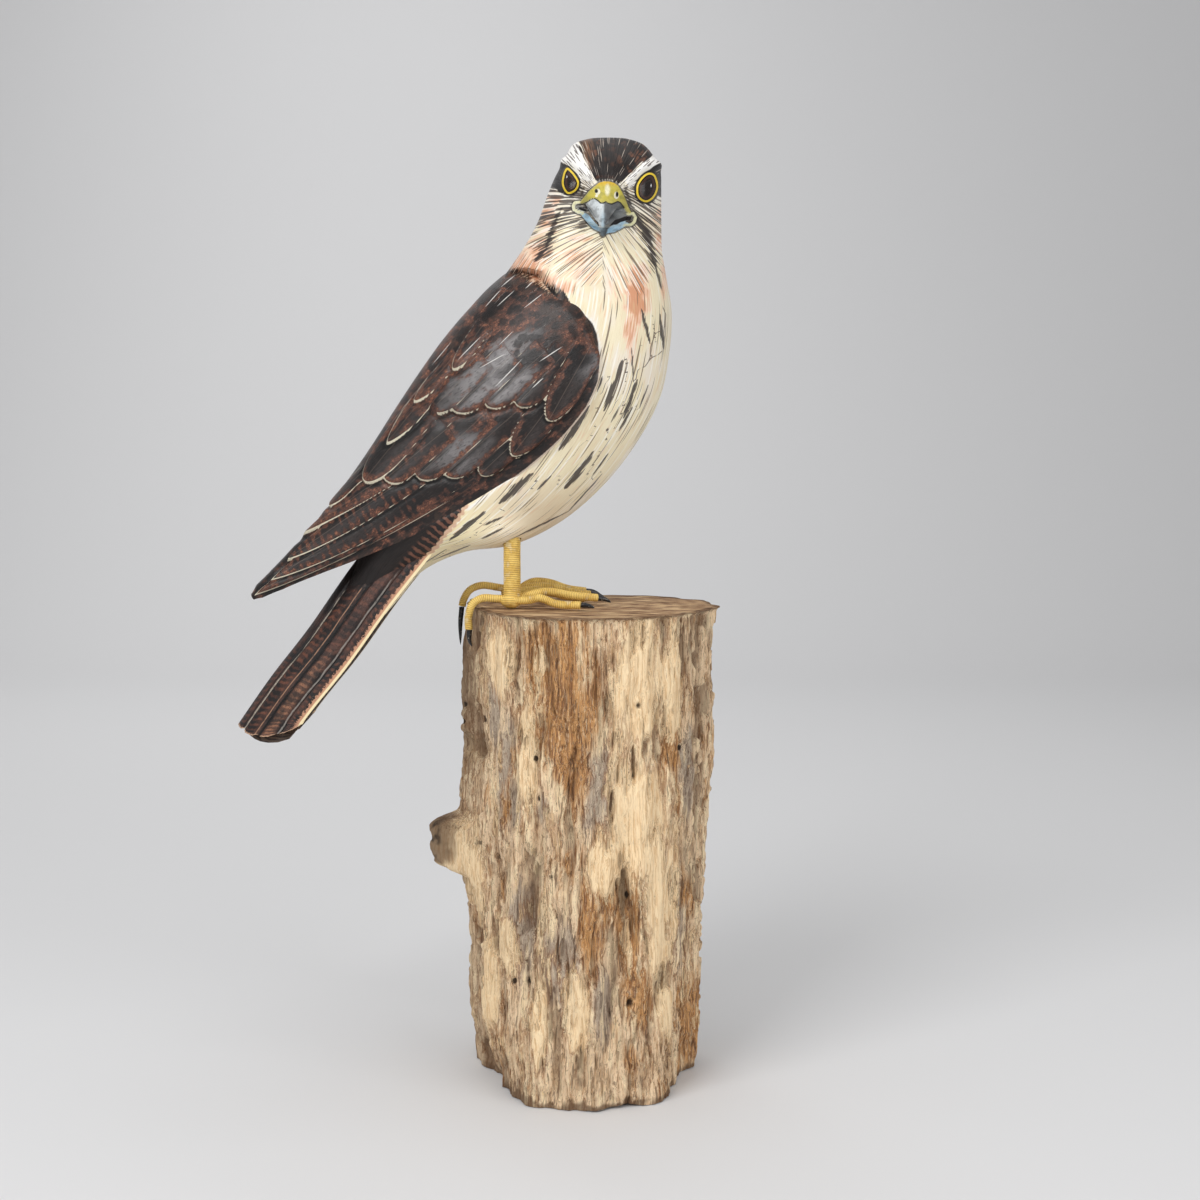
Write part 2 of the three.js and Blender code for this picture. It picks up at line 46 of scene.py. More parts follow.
BIRD_SHIFT = np.array([0, BIRD_PLANE, 0])
WHOLE_TURN = 2 * math.pi
LATTICE = 32                    # cells along each side of the random lattice


# Small helpers

def smooth(low, high, x):
    """Step from 0 at low to 1 at high that leaves and arrives level."""
    t = np.clip((x - low) / (high - low), 0, 1)
    return t * t * (3 - 2 * t)


def bell(distance, width):
    """Bell of height 1 around zero."""
    return np.exp(-((distance / width) ** 2))


def blunt(distance, width):
    """Bell with a flat top."""
    return np.exp(-((distance / width) ** 4))


def mix(a, b, share):
    return a + (b - a) * share


def degrees_apart(a, b):
    return np.abs((a - b + 540) % 360 - 180)


def rounded(value, power):
    """Power that keeps the sign, for rounded-square sections."""
    return np.sign(value) * np.abs(value) ** power


def through(rows, t):
    """Smooth curve through evenly spaced rows at t from 0 to 1: the cubic of the four rows around t."""
    rows = np.asarray(rows, float)
    last = len(rows) - 1
    place = np.clip(np.asarray(t, float), 0, 1) * last
    i = np.minimum(place.astype(int), last - 1)
    x = (place - i)[..., None]
    before, here, after, beyond = (rows[np.clip(i + k, 0, last)] for k in (-1, 0, 1, 2))
    bend = 2 * before - 5 * here + 4 * after - beyond
    twist = 3 * here - before - 3 * after + beyond
    return 0.5 * (2 * here + (after - before) * x + bend * x**2 + twist * x**3)


def at_place(rows, p):
    """Smooth curve through rows whose first number is their place."""
    rows = np.asarray(rows, float)
    places = rows[:, 0]
    i = np.clip(np.searchsorted(places, p, side="right") - 1, 0, len(rows) - 2)
    share = np.clip((p - places[i]) / (places[i + 1] - places[i]), 0, 1)
    return through(rows[:, 1:], (i + share) / (len(rows) - 1))


def noise(points, size, seed):
    """Smooth random field from -1 to 1: random numbers on a cubic lattice of cells of one size,
    blended between the eight corners around each point."""
    table = np.random.default_rng(seed).uniform(-1, 1, (LATTICE, LATTICE, LATTICE))
    place = points / size
    cell = np.floor(place).astype(int)
    part = place - cell
    weight = part * part * (3 - 2 * part)
    total = 0
    for corner in itertools.product((0, 1), repeat=3):
        index = (cell + corner) % LATTICE
        share = np.prod(np.where(corner, weight, 1 - weight), axis=-1)
        total = total + share * table[index[..., 0], index[..., 1], index[..., 2]]
    return total


def layered(points, size, seed, layers=3):
    """Sum of noises, each half as large and half as strong as the one before."""
    return sum(noise(points, size / 2**k, seed + k) / 2**k for k in range(layers))


def span_field(x, z, start, end):
    """Distance in a plane to the straight line from one point to another."""
    (ax, az), (bx, bz) = start, end
    along = ((x - ax) * (bx - ax) + (z - az) * (bz - az)) / ((bx - ax) ** 2 + (bz - az) ** 2)
    along = np.clip(along, 0, 1)
    return np.hypot(x - ax - along * (bx - ax), z - az - along * (bz - az))


def polygon_field(x, z, corners):
    """Signed distance in a plane to a polygon's outline, positive inside."""
    nearest = np.full(np.shape(x), np.inf)
    inside = np.zeros(np.shape(x), bool)
    for (ax, az), (bx, bz) in zip(corners, [*corners[1:], corners[0]]):
        nearest = np.minimum(nearest, span_field(x, z, (ax, az), (bx, bz)))
        inside ^= ((az > z) != (bz > z)) & (x < (bx - ax) * (z - az) / (bz - az + 1e-12) + ax)
    return np.where(inside, nearest, -nearest)


def line_field(x, z, points):
    """Distance in a plane to an open line through points."""
    return np.min([span_field(x, z, start, end) for start, end in itertools.pairwise(points)], axis=0)


def paint(red, green, blue):
    """Linear colour of a paint given as the usual 0 to 255 values."""
    value = np.array([red, green, blue]) / 255
    return np.where(value <= 0.04045, value / 12.92, ((value + 0.055) / 1.055) ** 2.4)


def over(coat, colour, cover):
    """Lays a colour over a coat with a cover from 0 to 1, in a material or in an array."""
    if isinstance(cover, Tone):
        return blend(coat, colour, cover)
    if isinstance(colour, tuple):
        colour = paint(*colour)
    return mix(coat, colour, np.clip(cover, 0, 1)[..., None])


def laid(coat, *layers):
    """Lays colours over a coat one after another, each with its cover."""
    for colour, cover in layers:
        coat = over(coat, colour, cover)
    return coat


def painted(points, colour, *layers):
    """A coat of one colour at every point, with layers laid over it."""
    return laid(paint(*colour) + np.zeros(points.shape), *layers)


def ring_mesh(name, rings):
    """Closed surface through rings of points: neighbours are joined by four-sided faces,
    each end is closed by a fan to its middle, and the faces are turned outwards."""
    rows, columns = rings.shape[:2]
    points = np.concatenate([rings.reshape(-1, 3), rings[[0, -1]].mean(axis=1)]) * MM
    index = np.arange(rows * columns).reshape(rows, columns)
    following = np.roll(index, -1, axis=1)
    quads = np.stack([index[:-1], following[:-1], following[1:], index[1:]], axis=-1).reshape(-1, 4)
    start = np.full(columns, rows * columns)
    fans = np.concatenate([
        np.stack([start, following[0], index[0]], axis=-1),
        np.stack([start + 1, index[-1], following[-1]], axis=-1),
    ])
    a, b, c, d = (points[quads[:, k]] for k in range(4))
    volume = np.sum(a * np.cross(b, c)) + np.sum(a * np.cross(c, d))
    if volume < 0:
        quads = quads[:, ::-1]
        fans = fans[:, ::-1]
    mesh = bpy.data.meshes.new(name)
    mesh.from_pydata(points.tolist(), [], quads.tolist() + fans.tolist())
    mesh.polygons.foreach_set("use_smooth", np.ones(len(mesh.polygons), bool))
    mesh.update()
    piece = bpy.data.objects.new(name, mesh)
    bpy.context.scene.collection.objects.link(piece)
    return piece


def store(mesh, name, kind, field, values):
    """Stores the values of the rings for each corner of the faces. The two closing points take the means
    of their rings."""
    ends = values[[0, -1]].mean(axis=1)
    listed = np.concatenate([values.reshape(-1, values.shape[-1]), ends]).astype(np.float32)
    index = np.empty(len(mesh.loops), np.int32)
    mesh.loops.foreach_get("vertex_index", index)
    mesh.attributes.new(name, kind, "CORNER").data.foreach_set(field, listed[index].ravel())


def add_vectors(mesh, name, *numbers):
    """Stores three numbers together, each given for the rings."""
    store(mesh, name, "FLOAT_VECTOR", "vector", np.stack(np.broadcast_arrays(*numbers), axis=-1))


def add_colours(mesh, name, coat, fourth=1.0):
    """Stores a coat, with one more number beside the colour."""
    fourth = np.broadcast_to(fourth, coat.shape[:-1])[..., None]
    store(mesh, name, "FLOAT_COLOR", "color", np.concatenate([coat, fourth], axis=-1))


def add_piece(piece, slot_name, *nodes):
    """Puts a finished piece on the body and hides the nodes that it stands for. The slot name is not used."""
    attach(piece, "root")
    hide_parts(*nodes)
    return piece


def curve_through(points, t, closed=False):
    """Smooth curve through points at t from 0 to 1. Each span is the cubic whose slopes at both ends
    weigh the neighbouring spans by the square roots of their lengths."""
    points = np.asarray(points, float)
    count = len(points)
    if closed:
        place = np.asarray(t, float) * count
        i = np.floor(place).astype(int)
        before, here, after, beyond = (points[(i + k) % count] for k in (-1, 0, 1, 2))
    else:
        place = np.clip(t, 0, 1) * (count - 1)
        i = np.minimum(place.astype(int), count - 2)
        longer = np.vstack([2 * points[0] - points[1], points, 2 * points[-1] - points[-2]])
        before, here, after, beyond = (longer[i + k] for k in range(4))
    x = (place - i)[..., None]
    d0, d1, d2 = (
        np.sqrt(np.linalg.norm(b - a, axis=-1, keepdims=True))
        for a, b in ((before, here), (here, after), (after, beyond))
    )
    leave = ((here - before) / d0 - (after - before) / (d0 + d1) + (after - here) / d1) * d1
    arrive = ((after - here) / d1 - (beyond - here) / (d1 + d2) + (beyond - after) / d2) * d1
    square = 3 * (after - here) - 2 * leave - arrive
    cube = 2 * (here - after) + leave + arrive
    return here + leave * x + square * x**2 + cube * x**3


def put(socket, value):
    """Links a tone to an input, or sets the input to a constant. Colours are given from 0 to 255."""
    if isinstance(value, Tone):
        socket.id_data.links.new(value.socket, socket)
    elif socket.type == "RGBA":
        socket.default_value = (*paint(*value), 1)
    else:
        socket.default_value = value


class Tone:
    """An output in a material's nodes. Each sum, product or method adds a node and gives its output."""

    def __init__(self, socket):
        self.socket = socket

    def node(self, kind, *values, **settings):
        """A new node of one kind, with its settings and the values of its first inputs."""
        node = self.socket.id_data.nodes.new(kind)
        for name, setting in settings.items():
            setattr(node, name, setting)
        for socket, value in zip(node.inputs, values):
            put(socket, value)
        return node

    def math(self, operation, *others):
        return Tone(self.node("ShaderNodeMath", self, *others, operation=operation).outputs[0])

    def __add__(self, other):
        return self.math("ADD", other)

    def __sub__(self, other):
        return self.math("SUBTRACT", other)

    def __rsub__(self, other):
        return Tone(self.node("ShaderNodeMath", other, self, operation="SUBTRACT").outputs[0])

    def __mul__(self, other):
        return self.math("MULTIPLY", other)

    def __pow__(self, other):
        return self.math("POWER", other)

    def __abs__(self):
        return self.math("ABSOLUTE")

    def step(self, low, high):
        """Smooth step from 0 at low to 1 at high, or the other way round if high is less."""
        turned = not isinstance(low, Tone) and high < low
        if turned:
            low, high = high, low
        values = (self, low, high, float(turned), float(not turned))
        return Tone(self.node("ShaderNodeMapRange", *values, interpolation_type="SMOOTHSTEP").outputs[0])

    def parts(self):
        return tuple(Tone(output) for output in self.node("ShaderNodeSeparateXYZ", self).outputs)

    def scaled(self, *scale):
        """Vector multiplied part by part."""
        scale = scale if len(scale) == 3 else scale * 3
        return Tone(self.node("ShaderNodeVectorMath", self, scale, operation="MULTIPLY").outputs[0])

    def spread(self, factor):
        """Vector whose first two parts are the value times a factor."""
        shift = self * factor
        return Tone(self.node("ShaderNodeCombineXYZ", shift, shift).outputs[0])

    def joined(self, other):
        """Sum of two vectors."""
        return Tone(self.node("ShaderNodeVectorMath", self, other).outputs[0])

    def noise(self, detail=2.0, roughness=0.5):
        """Smooth noise from 0 to 1 at this place, with finer layers added."""
        node = self.node("ShaderNodeTexNoise")
        for name, value in (("Vector", self), ("Scale", 1), ("Detail", detail), ("Roughness", roughness)):
            put(node.inputs[name], value)
        return Tone(node.outputs["Fac"])

    def specks(self):
        """Distance in a plane to the nearest of scattered points, one to a cell."""
        node = self.node("ShaderNodeTexVoronoi", voronoi_dimensions="2D")
        put(node.inputs["Vector"], self)
        put(node.inputs["Scale"], 1)
        return Tone(node.outputs["Distance"])


def mixed(kind, first, result, a, b, share):
    """A mixing node: its first and next inputs are a and b, and the result has its own output."""
    node = share.node("ShaderNodeMix", share, data_type=kind)
    put(node.inputs[first], a)
    put(node.inputs[first + 1], b)
    return Tone(node.outputs[result])


def between(a, b, share):
    """Number between a and b."""
    return mixed("FLOAT", 2, 0, a, b, share)


def pick(a, b, share):
    """Vector a where the share is 0 and b where it is 1."""
    return mixed("VECTOR", 4, 1, a, b, share)


def blend(a, b, share):
    """Colour between a and b."""
    return mixed("RGBA", 6, 2, a, b, share)


class Finish:
    """One material with its nodes."""

    def __init__(self, name):
        self.material = bpy.data.materials.new(name)
        self.material.use_nodes = True
        self.tree = self.material.node_tree
        self.tree.nodes.clear()
        self.shader = self.tree.nodes.new("ShaderNodeBsdfPrincipled")
        output = self.tree.nodes.new("ShaderNodeOutputMaterial")
        self.tree.links.new(self.shader.outputs["BSDF"], output.inputs["Surface"])
        self.coordinates = Tone(self.tree.nodes.new("ShaderNodeTexCoord").outputs["Object"])

    def set(self, name, value):
        put(self.shader.inputs[name], value)

    def stored(self, name, kind="Vector"):
        """The mesh's stored colour, vector or alpha of that name."""
        node = self.tree.nodes.new("ShaderNodeAttribute")
        node.attribute_name = name
        return Tone(node.outputs[kind])

    def cells(self, *size):
        """Object coordinates counted in cells of a size in millimetres."""
        return self.coordinates.scaled(*(1 / (number * MM) for number in size))

    def rough_by(self, height, distance, strength=1.0):
        """Bump of a height field, with its depth in millimetres."""
        node = self.tree.nodes.new("ShaderNodeBump")
        for name, value in (("Strength", strength), ("Distance", distance * MM), ("Height", height)):
            put(node.inputs[name], value)
        self.tree.links.new(node.outputs[0], self.shader.inputs["Normal"])


def grid_normals(rings):
    """Unit normals of a closed ring grid, from its neighbours' differences, pointing outwards."""
    along = np.gradient(rings, axis=0)
    around = np.roll(rings, -1, axis=1) - np.roll(rings, 1, axis=1)
    normal = np.cross(around, along)
    normal /= np.linalg.norm(normal, axis=-1, keepdims=True) + 1e-9
    outward = np.sum(normal * (rings - rings.mean(axis=1, keepdims=True)), axis=-1).mean()
    return normal * np.sign(outward)


def join_solids(name, pieces, cuts=()):
    """One closed solid: all pieces joined, less the cuts."""
    whole = pieces[0]
    for other, operation in [(p, "UNION") for p in pieces[1:]] + [(c, "DIFFERENCE") for c in cuts]:
        modifier = whole.modifiers.new("join", "BOOLEAN")
        modifier.solver = "MANIFOLD"
        modifier.operation = operation
        modifier.object = other
        modifier.material_mode = "TRANSFER"
        bpy.context.view_layer.update()
        evaluated = whole.evaluated_get(bpy.context.evaluated_depsgraph_get())
        result = bpy.data.meshes.new_from_object(evaluated)
        whole.modifiers.clear()
        whole.data = result
        bpy.data.objects.remove(other)
    whole.name = whole.data.name = name
    return whole


# The log

POST_TOP_OUTLINE = [
    (63.5, 8), (56, 40), (35, 62), (2, 70), (-34, 73), (-60, 64), (-66, 34), (-60, 2),
    (-52, -24), (-40, -46), (-20, -57), (4, -59), (24, -53), (42, -38), (56, -14),
]
POST_FOOT_OUTLINE = [
    (53, 10), (49, 34), (32, 52), (2, 60), (-30, 60), (-55, 48), (-65, 28), (-62, 4),
    (-54, -18), (-47, -38), (-28, -54), (-2, -59), (20, -54), (36, -43), (42, -14),
]
# Long splits: angle in degrees from +X, half width in degrees, depth, lowest and highest level
SPLITS = [
    (236, 5, 4.0, 60, 238), (259, 4, 2.4, 0, 170), (281, 5, 2.8, 30, 200), (306, 5, 3.2, 0, 238),
    (331, 4, 3.2, 40, 238), (22, 6, 4.5, 0, 238), (48, 7, 5.5, 20, 238), (96, 8, 6.5, 0, 238),
    (137, 6, 5.0, 30, 238), (206, 6, 4.0, 0, 200),
]
STUB_ANGLE = 169
STUB_LEVEL = 114
STUB_REACH = 13.5
# Rotten hollows: x and z of the middle, half width and half height
ROT_HOLLOWS = [
    (16, 106, 2.6, 13), (21, 90, 3.4, 17), (13, 122, 2.0, 7), (9, 148, 2.0, 8), (26, 176, 1.8, 7),
]
POST_FRONT = (0.455, 1.01)      # the span of the outline that is seen, as shares of the whole
POST_COLUMNS = (330, 100)       # on the seen side and behind
POST_ROWS = 200
POST_TAPER = 0.8                # power of the way from the foot outline to the top outline
RIM_DROP = 0.5
SEEN_DEPTH = 12                 # the seen side of the log ends at this y
DEEPEST_SPLIT = 14
DEEPEST_WEAR = 5.5
FOOT_SHRINK = 0.93              # the underside's inner ring as a share of the foot
TOP_RINGS = (0.994, 0.985, 0.96, 0.9, 0.8, 0.68, 0.55, 0.42, 0.3, 0.18, 0.08)
# Upright places on the seen side: x and z of the middle, half width and half height
SMOOTH_PLACES = [
    (22, 206, 12, 28), (23, 140, 15, 28), (33, 95, 8, 40), (-27, 42, 3, 18), (-54, 46, 4, 24),
    (-8, 50, 6, 18), (-47, 214, 5, 18), (36, 44, 3.5, 15),
    (-46, 76, 6, 14), (-33, 168, 4, 26), (-60, 100, 5, 26), (4, 118, 8, 12), (40, 200, 5, 26),
]
RUSTY_PLACES = [
    (-18, 216, 17, 24), (-12, 190, 16, 22), (-11, 168, 8, 20), (6, 112, 8, 22), (-1, 90, 6, 24),
    (18, 94, 6, 28),
    (22, 54, 8, 15), (40, 176, 4, 14), (50, 24, 7, 26), (-26, 226, 12, 10),
]
GREY_PLACES = [
    (-43, 156, 4.5, 34), (4, 157, 10, 22), (48, 160, 5, 22), (-36, 84, 5, 26), (-16, 70, 10, 26),
    (4, 52, 7, 24),
    (44, 84, 4, 30), (-50, 196, 4, 24),
]
# x and z on the seen side
WORM_HOLES = [
    (-59, 191), (-63, 187), (-62, 179), (-57, 183), (54, 221), (45, 172), (-44, 63), (-40, 60),
    (-34, 61), (-51, 68),
    (-30, 170), (-28, 151), (18, 104),
]
# x and z on the seen side, and size
KNOTS = [
    (-57, 120, 2.6), (-51, 116, 2.8), (20, 162, 2.2), (46, 135, 2.0), (-21, 114, 2.2), (18, 52, 4.5),
    (22, 196, 3),
]


def post_surface(turn, level):
    """The log's skin: two closed outlines blended by height, stretched from the axis by waves, splits,
    the branch stub, the swollen flank, the worn foot corner and the notch."""
    share = (level / POST_HEIGHT) ** POST_TAPER
    foot = curve_through(POST_FOOT_OUTLINE, turn, closed=True)
    top = curve_through(POST_TOP_OUTLINE, turn, closed=True)
    flat = mix(foot, top, share[..., None])
    angle = np.degrees(np.arctan2(flat[..., 1], flat[..., 0])) % 360
    off_stub = degrees_apart(angle, STUB_ANGLE)
    swell = 1.3 * np.sin(np.radians(angle * 11) + level / 55) * np.sin(level / 47 + 1)
    swell += 0.8 * np.sin(np.radians(angle * 23) - level / 38)
    for at, width, depth, low, high in SPLITS:
        run = smooth(low - 20, low + 20, level) * (1 - smooth(high - 15, high + 25, level))
        swell -= depth * run * bell(degrees_apart(angle, at + 5 * np.sin(level / 31 + at)), width)
    swell += STUB_REACH * blunt(off_stub, 12) * np.exp(-(((level - STUB_LEVEL - 1) / 14) ** 10))
    swell += 4.5 * bell(off_stub, 18) * bell(level - STUB_LEVEL, 28)
    flank = smooth(72, 132, level) * (1 - smooth(209, 233, level))
    swell += 4.5 * bell(degrees_apart(angle, 165), 34) * flank
    swell -= 7 * bell(degrees_apart(angle, 195), 34) * (1 - smooth(0, 30, level))
    swell -= 4.5 * bell(degrees_apart(angle, 184), 7) * bell(level - 166, 5)
    return flat, swell, angle


def post_weathering(point, level):
    """How far the skin is worn in: plates with ragged edges over crumbling fibres, upright flutes,
    narrow cracks, knots and worm holes. Grain bends where a slow noise shifts it sideways."""
    x, y = point[..., 0], point[..., 1]

    def upright(wide, tall, seed, layers=2, bend=0.0):
        place = np.stack([(x + bend) / wide, (y + bend) / wide, level / tall], axis=-1)
        return layered(place, 1, seed, layers)

    seen_side = y < SEEN_DEPTH
    calm = np.zeros_like(x)
    for px, pz, half, tall in SMOOTH_PLACES:
        reach = np.hypot((x - px) / half, (level - pz) / tall) + 0.5 * upright(4, 15, 35, 3)
        calm = np.maximum(calm, smooth(1.2, 0.6, reach) * seen_side)
    bend = 3.5 * upright(16, 26, 31)
    calm = np.clip(calm + 0.7 * calm * upright(3, 12, 33, 3) + 0.25 * upright(5, 16, 34), 0, 1)
    plates = smooth(-0.04, 0.06, upright(7, 56, 7, 3, bend) + 0.1)
    flakes = smooth(-0.02, 0.05, upright(3.6, 34, 9, 3, bend))
    flutes = 1 - np.clip(np.abs(upright(4.4, 46, 1, 2, bend)) * 1.8, 0, 1)
    fibres = np.abs(upright(1.7, 26, 13, 2, bend))
    crumbs = upright(2.4, 3.2, 15)
    rough = 1 - 0.8 * calm
    wander = (x + 0.8 * bend + 2 * upright(34, 90, 18)) / 9.5
    cracks = smooth(0.05, 0.0, np.abs(wander - np.round(wander)))
    cracks = cracks * smooth(0.05, 0.45, upright(14, 30, 19)) * rough
    worn = (1.1 * flutes + 1.1 * (1 - plates) + 1.0 * (1 - flakes) - 0.8 * fibres + 0.4 * crumbs) * rough
    worn += 1.3 * cracks * rough + 0.9 * (1 - calm)
    edge = np.maximum(smooth(46, 56, x), smooth(-50, -60, x))
    worn += 2.4 * edge * smooth(0.0, 0.25, upright(8, 13, 21, 3)) * seen_side
    holes = np.zeros_like(x)
    for px, pz in WORM_HOLES:
        holes = np.maximum(holes, blunt(np.hypot(x - px, (level - pz) * 0.6), 0.95) * seen_side)
    for px, pz, size in KNOTS:
        around = np.hypot(x - px, (level - pz) * 0.75) / size
        holes = np.maximum(holes, 0.75 * bell(around, 0.5) * seen_side)
        worn += 0.5 * np.cos(around * 5) * bell(around, 1.6) * seen_side
    rotten = np.zeros_like(x)
    for px, pz, half, tall in ROT_HOLLOWS:
        reach = np.hypot((x - px) / half, (level - pz) / tall) + 0.35 * upright(2.4, 8, 37)
        rotten = np.maximum(rotten, smooth(1.1, 0.6, reach) * seen_side)
    worn += 1.6 * rotten
    return worn + 1.7 * holes, calm * (1 - rotten), cracks, np.maximum(holes, 0.42 * rotten)


def wood_zones(x, y, level):
    """How rusty, how grey and how pale the wood is, each 0 on the edge of its places and 1 well inside."""
    zones = []
    for places, seed in ((RUSTY_PLACES, 53), (GREY_PLACES, 51), (SMOOTH_PLACES, 55)):
        wander = layered(np.stack([x / 9, y / 9, level / 24], axis=-1), 1, seed)
        field = -0.55 + 0.75 * wander
        for px, pz, half, tall in places:
            reach = np.hypot((x - px) / half, (level - pz) / tall)
            field = np.maximum(field, np.where(y < 16, 0.85 * (1.15 - reach) + 0.3 * wander, -1))
        zones.append(field)
    return np.stack(zones, axis=-1)


def make_post():
    """The log: rings of its skin from foot to top, then rings that close over the sawn top."""
    front, back = POST_COLUMNS
    turn = np.concatenate([
        np.linspace(*POST_FRONT, front, endpoint=False),
        np.linspace(POST_FRONT[1], POST_FRONT[0] + 1, back, endpoint=False),
    ])
    level, turn = np.meshgrid(np.linspace(0, POST_HEIGHT, POST_ROWS), turn, indexing="ij")
    flat, swell, angle = post_surface(turn, level)
    worn, calm, cracks, holes = post_weathering(flat, level)
    chip = layered(np.concatenate([flat / 15, level[..., None] * 0], axis=-1), 1, 71, 2) * 3
    worn = mix(worn, 1.2, 0.6 * smooth(10, 0, level)) + smooth(8, 0, level) * np.clip(chip, 0, 3)
    radius = np.linalg.norm(flat, axis=-1)
    stub = bell(degrees_apart(angle, STUB_ANGLE), 12) * blunt(level - STUB_LEVEL - 3, 13)
    crumbs = layered(np.concatenate([flat, level[..., None]], axis=-1), 4.5, 73)
    worn = mix(worn, 0.8 + 1.0 * crumbs, stub)
    reach = radius + swell - worn * smooth(POST_HEIGHT + 1, POST_HEIGHT - 3, level) - 0.2
    skin = np.concatenate([flat * (reach / radius)[..., None], level[..., None]], axis=-1)
    skin[0, :, 2] = np.clip(0.5 * chip[0], 0, 1.5)
    rim = skin[-1:]
    middle = rim.mean(axis=1, keepdims=True)
    shrink = np.array(TOP_RINGS)[:, None, None]
    top = middle + (rim - middle) * shrink
    skin[-1, :, 2] -= RIM_DROP
    foot = skin[:1].copy()
    foot[..., :2] *= FOOT_SHRINK
    foot[..., 2] = 0
    post = ring_mesh("log", np.concatenate([foot, skin, top]))
    zones = wood_zones(flat[..., 0], flat[..., 1], level)
    depth = np.clip(worn / DEEPEST_WEAR - swell / DEEPEST_SPLIT, 0, 1)
    shade = np.stack([depth, np.maximum(holes, 0.55 * cracks), 0 * depth], axis=-1)
    # Darker places: the left face, more so higher up, the back, the foot, the top rim and the branch stub
    darker_places = np.maximum.reduce([
        smooth(-50, -64, flat[..., 0]) * mix(0.4, 0.88, smooth(120, 200, level)),
        0.5 * smooth(10, 30, flat[..., 1]),
        smooth(6, 0, level + 4 * crumbs) * 0.9,
        smooth(POST_HEIGHT - 1.8, POST_HEIGHT - 0.4, level) * 0.8,
        smooth(0.1, 0.6, stub),
    ])
    marks = np.stack([darker_places, calm, smooth(0.35, 0.9, stub) * smooth(0, 0.5, crumbs)], axis=-1)
    for name, values, on_top in (
        ("zones", zones, (-1, -1, -1)), ("shade", shade, (0, 0, 1)), ("darker_places", marks, shrink),
    ):
        full = np.concatenate([values[:1], values, np.broadcast_to(on_top, top.shape)])
        add_vectors(post.data, name, *np.moveaxis(full, -1, 0))
    post.data.set_sharp_from_angle(angle=math.radians(65))
    post.data.materials.append(post_finish())
    return add_piece(post, "post_wood", "post")


